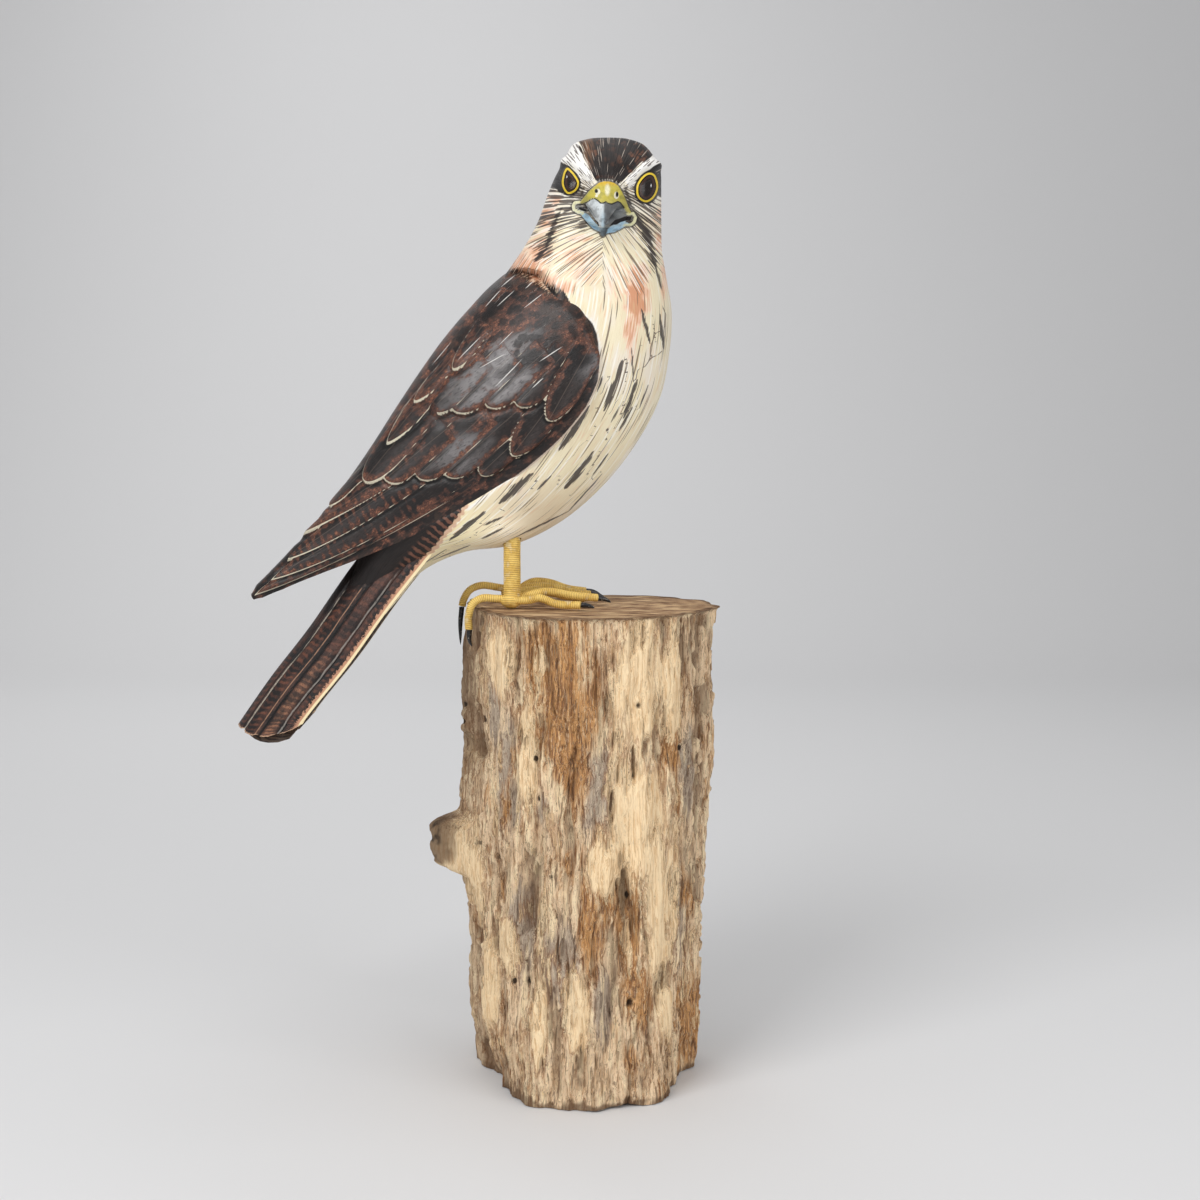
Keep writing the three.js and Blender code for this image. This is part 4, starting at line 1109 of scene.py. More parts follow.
def make_body():
    """Rings from the rump to the crown. Round each ring the cosine of the angle leads from the back point
    to the front point in the middle plane, and the sine out to the half width right or left, both raised
    to a power. The head carries its carving along the normals, and the sides give way under the wings."""
    below, above = BODY_ROWS
    t = np.concatenate([np.linspace(0, NECK, below, endpoint=False), np.linspace(NECK, 1, above)])
    left, right = BODY_COLUMNS
    angle = np.concatenate([
        np.linspace(0, math.pi, left, endpoint=False),
        np.linspace(math.pi, WHOLE_TURN, right, endpoint=False),
    ])
    backx, backz, frontx, frontz, right_half, left_half = through(BODY_SECTIONS, t).T[:, :, None]
    along = (1 + rounded(np.cos(angle), BODY_POWER)) / 2
    across = rounded(np.sin(angle), BODY_POWER)
    x, z = mix(backx, frontx, along), mix(backz, frontz, along)
    y = across * np.where(across < 0, right_half, left_half)
    tx, tz = THIGH_PLACE
    thigh = THIGH_SWELL * bell(x - tx, 17) * bell(z - tz, 8) * smooth(0, 10, np.abs(y))
    y = y + np.sign(y) * thigh
    rings = np.stack([x, y, z], axis=-1)
    px, pz = seen(x, y, z)
    relief = head_relief(px, y, pz) * smooth(*HEAD_BASE, z)
    rings = rings + grid_normals(rings) * relief[..., None]
    x, y, z = np.moveaxis(rings, -1, 0)
    rings[..., 1] = np.sign(y) * np.minimum(np.abs(y), under_wing(x, y, z))
    rings[..., 2] = np.minimum(rings[..., 2], CROWN_TOP)
    crown = rings[-1:].mean(axis=1, keepdims=True)
    caps = crown + (rings[-1:] - crown) * np.array(CROWN_RINGS)[:, None, None]
    rings = np.concatenate([rings, caps])
    x, y, z = np.moveaxis(rings, -1, 0)
    lengths = np.cumsum(np.linalg.norm(np.gradient(rings, axis=0), axis=-1), axis=0)
    around = np.where(angle > math.pi, angle - WHOLE_TURN, angle) * BODY_GIRTH
    body = ring_mesh("body", rings)
    paint_fields(body.data, x, y, z, around, lengths)
    body.data.materials.append(breast_finish())
    return body


def painted_gloss(finish, height, depth):
    """Rubbed varnish over brushed paint: a shallow bump and an uneven satin gloss, which is returned."""
    finish.rough_by(height, depth, 0.7)
    gloss = between(0.32, 0.5, finish.cells(14).noise(3, 0.6))
    finish.set("Roughness", gloss)
    finish.set("Specular IOR Level", 0.34)
    return gloss


def breast_finish():
    """Breast, head, beak and mantle: cream paint with hair strokes that follow the flows over the face
    and down the body, the dark crown and mantle, white brows, marks, eyes with painted highlights, beak and
    cracks."""
    if "breast_paint" in bpy.data.materials:
        return bpy.data.materials["breast_paint"]
    finish = Finish("breast_paint")
    dark, strokes, white = finish.stored("marks").parts()
    smudge, mantle, eye = finish.stored("smudges").parts()
    crack, near_crack, painted_eye_highlight = finish.stored("cracks").parts()
    beak, mouth, under = finish.stored("beak").parts()
    nostril, nostril_rim, face = finish.stored("nostrils").parts()
    body_flow, left_flow, right_flow, top_flow = (
        finish.stored(name) for name in ("body_flow", "left_flow", "right_flow", "top_flow")
    )
    long = body_flow.parts()[2]
    short = top_flow.parts()[2]
    right = left_flow.parts()[2].math("GREATER_THAN", THROAT_MIDDLE)
    above = right_flow.parts()[2].math("GREATER_THAN", FACE_TOP)
    head_flow = pick(pick(left_flow, right_flow, right), top_flow, above)
    not_face = 1.0 - face
    jag = between(body_flow.scaled(1.6, 0.09, 0).noise(), head_flow.scaled(1.6, 0.12, 0).noise(), face)
    uneven = jag - 0.5

    def strokes_of(flow, across, along, share, shift=0.0):
        """1 on brush strokes, each as long and as wide as a share of its cell."""
        place = flow.scaled(1 / across, 1 / along, 0).joined((shift, shift * 1.7, 0))
        return (share - place.specks()).step(0.0, 0.035)

    def either(*covers):
        total, *others = covers
        for cover in others:
            total = total.math("MAXIMUM", cover)
        return total

    long_here, long_there = long * face, long * not_face
    fine = either(
        strokes_of(head_flow, 1.5, 70, long_here * 1.15),
        strokes_of(head_flow, 1.9, 60, long_here, 5.3),
        strokes_of(body_flow, 1.9, 120, long_there),
        strokes_of(body_flow, 2.3, 90, long_there, 3.7),
        strokes_of(head_flow, 1.2, 34, long_here * 0.8, 9.4),
    )
    thick = either(
        strokes_of(head_flow, 0.95, 13, short * face, 8.1),
        strokes_of(head_flow, 1.05, 17, short * (face * 0.74), 2.9),
    )
    pale = either(
        strokes_of(head_flow, 1.0, 26, face * 0.3, 6.2),
        strokes_of(body_flow, 1.6, 60, not_face * 0.22, 1.3),
    )
    base = finish.stored("coat", "Color")
    wash = finish.stored("coat", "Alpha") + uneven * 2.4
    tint = blend((242, 200, 174), (206, 130, 90), wash.step(0.45, 1.1))
    base = laid(
        base,
        (tint, wash.step(0.15, 0.6) * 0.85),
        ((216, 196, 152), jag.step(0.52, 0.7) * 0.35),
        ((250, 246, 236), pale * 0.65),
    )
    coat = laid(base, ((112, 94, 76), fine * 0.85), ((58, 48, 46), thick * 0.88))
    ragged = white + uneven * 4.0
    brow = either(strokes_of(head_flow, 0.9, 13, 0.2, 4.4), strokes_of(head_flow, 1.2, 8, 0.16, 2.2))
    brow = blend((244, 242, 238), (84, 70, 64), brow * 0.85)
    coat = blend(coat, brow, ragged.step(-0.2, 0.4))
    night = finish.stored("dark_coat", "Color")
    night = blend(night, (22, 18, 18), jag.step(0.48, 0.58) * 0.75)
    hairs = either(
        strokes_of(head_flow, 1.1, 24, face * 0.11, 7.7),
        strokes_of(head_flow, 0.9, 34, face * 0.1, 3.1),
    )
    night = blend(night, (196, 182, 168), hairs * 0.7)
    coat = blend(coat, night, (dark + uneven * 5.0).step(-0.25, 0.35))
    mottle = finish.cells(2.6).noise(3, 0.6) - 0.5
    x, _, z = finish.coordinates.parts()
    high = z.step(0.298, 0.33)
    smooth_edge = x.step(-0.018, -0.01)
    wander = (uneven * 11.0 + mottle * 5.0) * between(1.0, 0.06, smooth_edge)
    higher = high * between(3.0, 0.0, smooth_edge)
    edge = mantle + higher + wander * between(0.15, 1.0, high)
    low = 1.0 - high
    x, _, z = finish.cells(3.6 / WHOLE_TURN).parts()
    down = x * math.cos(TAIL_SLOPE) + z * math.sin(TAIL_SLOPE)
    wave = (down + mottle * 5.0).math("SINE")
    bars = wave.step(-0.1, 0.8) * mantle.step(8.5, 5.5) * low
    night = blend(night, (132, 88, 70), bars * 0.7)
    edge = edge + wave * low * 0.4
    coat = blend(coat, (204, 160, 134), edge.step(-2.2, -1.4) * (low * 0.8))
    soft = between(0.3, 1.6, high * between(1.0, 0.1, smooth_edge))
    coat = blend(coat, night, edge.step(soft * -0.8, soft))
    streaky = body_flow.scaled(2.6, 0.1, 0).noise(2) - 0.5
    reach = strokes * (streaky * 2.6 + 1.0)
    mark = reach - abs(finish.stored("dark_coat", "Alpha"))
    mark = mark + streaky * 0.5
    coat = blend(coat, (64, 56, 54), mark.step(-0.12, 0.2) * 0.93)
    patch = smudge + uneven * 4.2
    coat = blend(coat, (50, 43, 42), patch.step(-0.2, 0.5) * 0.9)
    split = abs(crack).step(0.3, 0.16) * near_crack.step(1.0, 0.6)
    coat = blend(coat, (112, 98, 86), split * 0.85)
    horn = finish.stored("horn_coat", "Color")
    grain = finish.cells(0.9).noise(3, 0.6)
    horn = laid(
        horn,
        ((60, 56, 50), grain.step(0.55, 0.75) * 0.4),
        ((34, 30, 30), (under + 0.06).step(0.0, 0.18)),
        ((232, 228, 206), nostril_rim.step(0.0, 0.3) * 0.9),
        ((26, 22, 20), nostril.step(0.0, 0.2)),
        ((26, 24, 25), mouth.step(-0.1, 0.12)),
    )
    around_beak = beak + uneven * 0.5
    coat = laid(
        coat,
        ((42, 36, 34), around_beak.step(-0.9, -0.35) * 0.8),
        (horn, beak.step(-0.1, 0.12)),
    )
    rim = eye + uneven * 1.2
    coat = laid(
        coat,
        ((30, 26, 26), rim.step(-1.25, -0.75)),
        ((228, 196, 52), eye.step(-0.08, 0.12)),
        ((26, 20, 18), eye.step(0.86, 1.02)),
        ((62, 42, 36), eye.step(1.35, 1.8)),
        ((34, 27, 26), eye.step(2.2, 3.0)),
        # painted highlights on the eyes
        ((226, 226, 226), painted_eye_highlight.step(0.0, 0.25)),
    )
    finish.set("Base Color", coat)
    gloss = painted_gloss(finish, fine * -0.6 + jag, 0.25)
    satin = between(gloss, 0.14, eye.step(0.6, 1.0))
    finish.set("Roughness", between(satin, 0.8, mouth.step(-0.1, 0.12)))
    return finish.material


# The wings

WING_ORIGIN = (2.1, 366.5)
WING_PITCH = math.radians(35.55)
WING_TURN = math.radians(110)
WING_LAP = (3, 110)             # along this stretch the belly's paint laps over the lower rim
WING_PARTING = (165, 205)       # over this stretch the two tips move apart
WING_REACH = (-6, 213.5)
# s runs back along the wing from its shoulder and q upwards across it. Each row has s, q of the back
# ridge, q of the lower edge, how far the wing bulges and how deep it goes into the body.
WING_ROWS = [
    (-6, 28, 14, 32, 10), (-3, 37, 8, 42, 12), (2, 47, -4, 46, 14), (10, 56, -14.5, 46, 16),
    (22, 57, -21.5, 46.5, 18), (40, 54, -26.3, 45, 18), (60, 49.2, -28.3, 42.5, 18),
    (80, 42.6, -28.3, 39, 18), (100, 35.2, -26.8, 35, 20), (120, 27.4, -23.6, 31, 24),
    (140, 20.4, -19.6, 26.5, 20), (160, 14.6, -15, 21.5, 20), (180, 9.8, -9.9, 16.5, 6.5),
    (198, 6.2, -5.8, 12, 4.5), (209, 4.4, -3.2, 9, 3), (213.5, 2.4, -1.4, 7.5, 1.6),
]
WING_GRID = {-1: (288, 117, 6), 1: (140, 60, 6)}       # rows, columns outside and columns inside
# Feathers from the top one down: root s and q, tip s and q, width, length of the rounded end, its
# fullness, height, and how strongly it is barred
FEATHERS = [
    (38, 41, 64, 30.5, 9, 14, 0.6, 1.7, 0.0), (58, 37, 89, 29.5, 7.5, 14, 0.6, 1.6, 0.0),
    (70, 33, 112, 20.8, 11, 26, 0.7, 1.6, 0.2), (82, 27, 132, 12.5, 17, 26, 0.5, 1.7, 0.3),
    (2, 2, 40.5, -15.5, 15, 20, 0.55, 1.8, 0.0), (48, 27, 84.5, 20.5, 14, 14, 0.5, 1.9, 0.0),
    (36, 20, 75, 14.5, 16, 14, 0.5, 1.9, 0.0), (22, 12, 60.5, 7, 14.5, 13, 0.5, 1.9, 0.0),
    (14, 6, 48.5, -1, 15, 13, 0.5, 1.9, 0.0), (28, -8, 64.5, -18.7, 15, 19, 0.6, 1.6, 0.1),
    (82, 10, 122.5, 7.5, 14, 10, 0.5, 1.6, 0.4), (62, 5, 108.5, -0.5, 16, 13, 0.5, 1.6, 0.4),
    (48, -3, 96.5, -7.5, 15, 12, 0.5, 1.6, 0.4), (40, -12, 82.5, -17, 11.5, 12, 0.5, 1.6, 0.3),
    (125, 19, 155, 14, 6, 12, 0.6, 1.2, 0.0), (85, 9, 174.5, 10.3, 13, 75, 1.0, 1.2, 0.5),
    (85, 2, 187.5, 4.5, 16, 80, 0.8, 1.1, 1.0), (85, -6, 199.5, 1, 22.5, 100, 0.9, 1.0, 0.9),
    (85, -10, 211.5, 0.2, 20, 110, 0.9, 0.9, 0.3),
]
LONG_FEATHERS = 14              # from here on the list holds the flight feathers
BAR_LENGTH = 4.2
NAPE_LINE = [(-20, 10), (-5, 16), (0, 25), (8, 33), (10, 40), (16, 57), (16, 80), (-20, 80)]
# White strokes: from and to in s and q, and full width
WING_STROKES = [
    ((17, 45.5), (29, 44.2), 0.45), ((7, 35.6), (19, 35.2), 0.45), ((14, 9), (28, 9.5), 0.5),
    ((33, 15.4), (52, 12), 0.5), ((30, 2.2), (38, 1.2), 0.5), ((38, 22.2), (53, 24), 0.45),
    ((22, 50.4), (34, 47.8), 0.5), ((43, 36.2), (60, 32.6), 0.45), ((29, 29.2), (39, 27.8), 0.4),
    ((12, 52.2), (22, 51.4), 0.5), ((4, 44.2), (13, 42.8), 0.55), ((57, 44.2), (72, 40.6), 0.4),
]
# Rusty places: middle in s and q, half length and half width, strength. Grey sheen painted as a highlight:
# the same without the strength.
WING_RUST = [
    (45, 33, 24, 7, 0.14), (28, 0, 12, 8, 0.14), (5, 6, 7, 9, 0.1), (80, 30, 30, 7, 0.14),
    (62, 6, 26, 9, 0.08), (20, 34, 20, 9, 0.1), (130, 9, 46, 7, 0.12), (60, 50, 40, 6, 0.08),
]
WING_PAINTED_SHEEN = [(55, 18, 24, 12), (46, 8, 12, 7), (5, -9, 13, 6), (84, -4, 16, 9), (34, 24, 18, 8)]


def feather_field(s, q, *feather):
    """Signed distance inside a feather's outline, its length and the place along it and across it.
    The outline is two straight sides and an end that narrows as a power of 1 minus the square."""
    s0, q0, s1, q1, width, tip, fullness = feather
    length = math.hypot(s1 - s0, q1 - q0)
    ds, dq = (s1 - s0) / length, (q1 - q0) / length
    u = (s - s0) * ds + (q - q0) * dq
    v = -(s - s0) * dq + (q - q0) * ds
    half = width / 2
    x = np.maximum((u - (length - tip)) / tip, 0)
    side = np.abs(v) / half + 1e-6
    level = side ** (1 / fullness) + x**2 - 1
    slope = np.hypot(side ** (1 / fullness - 1) / (fullness * half), 2 * x / tip)
    field = np.minimum(-level / np.maximum(slope, 0.8 / half), u)
    return np.clip(field, -20, 20), length, u, v / half


def wing_feathers(s, q):
    """Height of the carved feathers, and the fields that the paint needs: the edge field, 1 where the
    pale edge line ends, the groove below each edge, which is painted dark as shade, the shaft line, the bars,
    the feather's number, the place along it, the distance inside its edge and the place across it.
    Feathers are laid from the lowest to the top one."""
    height, groove, bars, number, run, place_across = np.zeros((6, *s.shape))
    own, shaft, within = (np.full(s.shape, value) for value in (30.0, 9.0, 20.0))
    for i in reversed(range(len(FEATHERS))):
        *outline, lift, barred = FEATHERS[i]
        width, tip = outline[4:6]
        field, length, u, across = feather_field(s, q, *outline)
        inside = field > 0
        share = np.clip(u / length, 0, 1)
        rooted = smooth(0, 0.3, share)
        outside = bell(field + 1.0, 0.9) * (field < 0.4) * rooted * (u > 0) * (across < 0.7)
        crown = 1.35 * lift * (0.2 + 0.8 * share) * (1 - 0.5 * np.clip(across + 0.2, -1, 1) ** 2)
        cover = smooth(-0.45, 0.45, field) * smooth(0, 0.12, share)
        below = height - 0.55 * outside * (0.5 + 0.5 * share)
        height = mix(below, np.maximum(crown, height * 0.4), cover)
        line = (0.24 + 0.36 * smooth(length - tip * 0.9, length - 1, u)) * rooted
        if i >= LONG_FEATHERS:
            line = (0.25 + 0.1 * smooth(0.6, 1, share)) * rooted
        line = np.maximum(line, 0.05)
        groove = np.maximum(np.where(inside, 0, groove), outside)
        above = np.where((u > 0) & (rooted > 0.3), -field * 3, 30)
        own = np.where(inside, field / line, np.minimum(own, above / line))
        shaft = np.where(inside, across * width / 2, shaft)
        bars = np.where(inside, barred * np.sin(u * WHOLE_TURN / BAR_LENGTH + 1.2 * across), bars)
        number = np.where(inside, i + 1, number)
        run = np.where(inside, share, run)
        within = np.where(inside, field, within)
        place_across = np.where(inside, across, place_across)
    return height, own, groove, shaft, bars, number, run, within, place_across


def wing_coat(s, q, groove, bars, number, run, inside, across):
    """Blackish brown with a painted grey sheen as a highlight on the shoulder, each feather painted lighter
    on its upper side and darker on its lower side as light and shade, painted shade in the grooves, and how
    rusty each place is.
    """
    flat = np.stack([s, q, number * 3.7], axis=-1)
    open_skin = number == 0
    coat = painted(
        flat, (36, 30, 29),
        ((24, 21, 22), smooth(0.0, 0.6, layered(flat, 9, 93)) * 0.7),
        # painted shade on the lower side of each feather
        ((12, 10, 11), smooth(0.2, 0.95, across) * 0.8),
        # painted light: a paler band along the upper side of each feather
        ((84, 76, 74), bell(across + 0.35, 0.3) * ~open_skin * 0.35 * smooth(0.2, 0.6, run)),
        ((66, 50, 42), open_skin * 0.6 * smooth(-0.5, 0.4, layered(flat, 11, 94))),
    )
    rusty = 0.03 + 0.09 * layered(flat, 14, 91)
    for rs, rq, half, tall, more in WING_RUST:
        rusty += more * smooth(1.4, 0.5, np.hypot((s - rs) / half, (q - rq) / tall))
    rusty += 0.16 * smooth(0.1, 0.8, bars) * smooth(0.15, 0.4, run) - 0.12 * smooth(0.0, -0.8, bars)
    fringe = (0.13 + 0.1 * noise(flat, 11, 92)) * smooth(3.6, 1.2, inside) - 0.14 * smooth(2.6, 5, inside)
    rusty += np.where(open_skin, 0.0, fringe)
    rusty -= 0.1 * smooth(0.5, 1, across) * ~open_skin
    streaky = 0.55 * layered(flat * (0.35, 1, 1), 7, 95, 3)
    # painted highlights: grey sheen laid over the shoulder and coverts
    for gs, gq, half, tall in WING_PAINTED_SHEEN:
        sheen = smooth(1.4, 0.2, np.hypot((s - gs) / half, (q - gq) / tall) + streaky)
        coat = over(coat, (144, 140, 140), sheen * 0.64)
        rusty = rusty - 0.06 * sheen
    # painted shade: near black in the grooves below the feather edges
    return over(coat, (12, 10, 10), groove * 0.95), rusty


def make_wing(side):
    """Closed shell: for each s a ring that turns from the back ridge over the outside to the lower edge
    and returns inside. It falls with the cosine of the turn and stands out by the bulge times the sine.
    The feathers lift the outside. Side is -1 for the right wing."""
    rows, outer, inner = WING_GRID[side]
    s = np.linspace(*WING_REACH, rows)
    top, low, bulge, depth = at_place(WING_ROWS, s).T[:, :, None]
    turn = np.concatenate([np.linspace(0, WING_TURN, outer), np.linspace(WING_TURN, 0, inner)])
    outside = np.arange(outer + inner) < outer
    share = (1 - np.cos(turn)) / (1 - math.cos(WING_TURN))
    q = top + (low - top) * share
    s = np.broadcast_to(s[:, None], q.shape)
    height, edge, groove, shaft, bars, number, run, within, across = wing_feathers(s, q)
    end = smooth(WING_REACH[0], 4, s) * smooth(WING_REACH[1] + 0.5, 206, s)
    lift = np.where(outside, height * end - 0.15, -depth)
    parting = mix(-1, 1.6, smooth(*WING_PARTING, s))
    level = q + np.cos(turn) * lift
    outward = parting + np.sin(turn) * (bulge + lift)
    least = np.where(s > 170, 0.8, -1.0)
    outward = np.where(outside, outward, np.maximum(outward, least))
    ox, oz = WING_ORIGIN
    x = ox - s * math.cos(WING_PITCH) - level * math.sin(WING_PITCH)
    z = oz - s * math.sin(WING_PITCH) + level * math.cos(WING_PITCH)
    wing = ring_mesh("wing", np.stack([x, side * outward, z], axis=-1))
    nape = polygon_field(s, q, NAPE_LINE) - 3.5
    lap_start, lap_end = WING_LAP
    rim = np.where((s > lap_start) & (s < lap_end), q - low, 30)
    belly = 0.8 * smooth(lap_start, 10, s) * smooth(lap_end, 50, s) - rim
    strokes, aside = stroke_parts(s, q, WING_STROKES)
    add_colours(wing.data, "coat", *wing_coat(s, q, groove, bars, number, run, within, across))
    add_vectors(wing.data, "feather", edge, shaft, strokes)
    add_vectors(wing.data, "wing_edges", nape, belly, number)
    add_vectors(wing.data, "wing_place", s, q, aside)
    wing.data.materials.append(wing_finish())
    return wing


def wing_finish():
    """Wing paint: rust mottling, pale hairlines along the feather edges, faint shafts, barbs, the cream
    nape strokes that run over the shoulder, and the belly's cream lapping over the lower rim."""
    if "wing_paint" in bpy.data.materials:
        return bpy.data.materials["wing_paint"]
    finish = Finish("wing_paint")
    edge, shaft, strokes = finish.stored("feather").parts()
    nape, belly, number = finish.stored("wing_edges").parts()
    own_place = finish.stored("wing_place")
    _, q, aside = own_place.parts()
    place = own_place.joined((number * 17.3).spread(1.0))
    barbs = place.scaled(0.35, 1.6, 0).noise(3, 0.6)
    fine = place.scaled(1.2, 1.5, 0).noise(4, 0.7)
    mottle = place.scaled(0.15, 0.26, 0).noise(3, 0.56)
    dots = place.scaled(0.42, 0.56, 0).specks()
    warped = own_place.joined(mottle.spread(7.0))
    blots = warped.scaled(0.15, 0.19, 0).specks()
    coat = finish.stored("coat", "Color")
    rusty = finish.stored("coat", "Alpha") + mottle
    rust = blend((80, 51, 42), (116, 74, 58), fine.step(0.44, 0.66))
    coat = blend(coat, rust, rusty.step(0.48, 0.68) * 0.9)
    spread = rusty.step(0.58, 0.7) * fine.step(0.44, 0.54)
    dotted = dots.step(0.52, 0.16) * spread
    coat = blend(coat, (170, 110, 80), dotted * 0.5)
    shoulder = number.math("LESS_THAN", 0.5)
    spotted = blots.step(0.44, 0.26) * between(0.25, 0.8, shoulder)
    coat = laid(
        coat,
        ((24, 20, 20), spotted),
        ((16, 13, 14), barbs.step(0.54, 0.64) * 0.6),
        ((140, 126, 116), barbs.step(0.4, 0.3) * 0.12),
        ((128, 112, 100), abs(shaft).step(0.24, 0.08) * 0.3),
    )
    broken = barbs.step(0.34, 0.5)
    rim = abs(edge).step(1.15, 0.75) * between(0.7, 1.0, broken)
    coat = blend(coat, (226, 218, 194), rim * 0.9)
    dabs = (strokes - abs(aside) + (fine - 0.5) * 0.3).step(-0.05, 0.15)
    coat = blend(coat, (232, 230, 224), dabs * 0.85)
    jag = (barbs - 0.5) * 14.0 + (mottle - 0.5) * 8.0
    jag = jag * between(0.15, 1.0, q.step(24.0, 34.0))
    over_nape = (nape + jag).step(-0.8, 2.0)
    cream = blend((206, 138, 100), (238, 214, 186), barbs.step(0.46, 0.6))
    cream = blend(cream, (70, 50, 40), fine.step(0.44, 0.36) * 0.8)
    coat = blend(coat, cream, over_nape * 0.9)
    lap = (belly + (fine - 0.5) * 1.0).step(-0.2, 0.2)
    coat = blend(coat, (206, 188, 170), lap * 0.8)
    finish.set("Base Color", coat)
    painted_gloss(finish, fine + barbs, 0.22)
    finish.set("Roughness", between(0.26, 0.42, mottle))
    finish.set("Specular IOR Level", 0.36)
    return finish.material


# The tail

TAIL_RIDGE = [(-101, 286), (-124, 256.6), (-145, 226.8), (-164.6, 201.8), (-182.2, 176.9)]
TAIL_FEATHERS = [0, 0.275, 0.585, 0.8, 1]      # edges, as shares of the way from the ridge outwards
TAIL_SLOPE = math.radians(53.5)
TAIL_ARC = math.radians(78)
TAIL_DEPTH = 27.5               # from the ridge down to the outer edge
TAIL_HALF = 19                  # half width from side to side
TAIL_SETBACK = 23               # how much sooner the outer feathers end
FEATHER_STEP = 0.9
TAIL_GRID = (110, 48)
TAIL_LONG = 133
TAIL_WIDE = 33
TAIL_UNDER = 9                  # columns of the hollow underside
# Lines along the tail: place across, half width, colour and cover. The three dark ones are painted shade in
# the grooves between the feathers.
TAIL_LINES = [
    (19.5, 0.75, (8, 7, 8), 1.0), (27.2, 0.5, (10, 9, 10), 0.9), (8.2, 0.5, (12, 10, 11), 0.8),
    (9.0, 0.34, (188, 178, 162), 0.85), (17.9, 0.34, (172, 130, 102), 0.75),
    (26.3, 0.27, (166, 160, 152), 0.6),
]


def tail_point(t, share, side, inset, notch=0.0):
    """Point of the arched tail: from the ridge outwards with the sine of an angle and down partly with the
    share itself, partly with 1 less the cosine. The outer feathers end sooner than the middle ones."""
    ridge = through(TAIL_RIDGE, t)
    angle = share * TAIL_ARC
    drop = 0.35 * share + 0.65 * (1 - np.cos(angle)) / (1 - math.cos(TAIL_ARC))
    outward = TAIL_HALF * np.sin(angle) / math.sin(TAIL_ARC)
    depth = (TAIL_DEPTH + 2 * (1 - t)) * drop + inset
    setback = TAIL_SETBACK * share**3.4 * smooth(0.76, 1, t) + notch * smooth(0.972, 0.99, t)
    x = ridge[..., 0] + depth * math.sin(TAIL_SLOPE) + setback * math.cos(TAIL_SLOPE)
    z = ridge[..., 1] - depth * math.cos(TAIL_SLOPE) + setback * math.sin(TAIL_SLOPE)
    across = side * np.maximum(outward - inset * 0.45, 0)
    return np.stack(np.broadcast_arrays(x, across, z), axis=-1)


def make_tail():
    """Closed shell: a grid over the arch with a step at each feather's edge, and a hollow underside."""
    rows, columns = TAIL_GRID
    t = np.linspace(0, 1, rows)[:, None]
    share = np.linspace(0, 1, columns)[None, :]
    inset, middle = np.zeros((2, rows, columns))
    for start, end in itertools.pairwise(TAIL_FEATHERS):
        along = (share - start) / (end - start)
        within = (along >= 0) & (along <= 1)
        inset = inset + FEATHER_STEP * bell(share - end, 0.016) * (end < 1)
        inset = np.where(within, inset + 0.35 * (1 - along) ** 2, inset)
        middle = np.where(within, along, middle)
    inset = inset + 0.15
    notch = 2.2 * np.abs(2 * middle - 1) ** 4 * (share > 0.1) + 0.6 * np.abs(np.sin(share * 61))
    right, left = (tail_point(t, share, side, inset, notch) for side in (-1, 1))
    under = np.linspace(0.97, 0.03, TAIL_UNDER)[None, :]
    depth = 5.5 * np.minimum(1, (1 - under) * 6)
    below_right, below_left = (tail_point(t, under, side, np.maximum(depth, 0.8)) for side in (-1, 1))
    rings = np.concatenate([right, below_right, below_left[:, ::-1], left[:, :0:-1]], axis=1)

    def around(value, below):
        low = np.broadcast_to(below, (rows, TAIL_UNDER))
        value = np.broadcast_to(value, (rows, columns))
        return np.concatenate([value, low, low[:, ::-1], value[:, :0:-1]], axis=1)

    tail = ring_mesh("tail", rings)
    low = TAIL_WIDE + 1 + (1 - under) * 30
    along = around(t * TAIL_LONG, t * TAIL_LONG)
    add_vectors(tail.data, "tail_place", along, around(share * TAIL_WIDE, low), 0)
    tail.data.materials.append(tail_finish())
    return tail


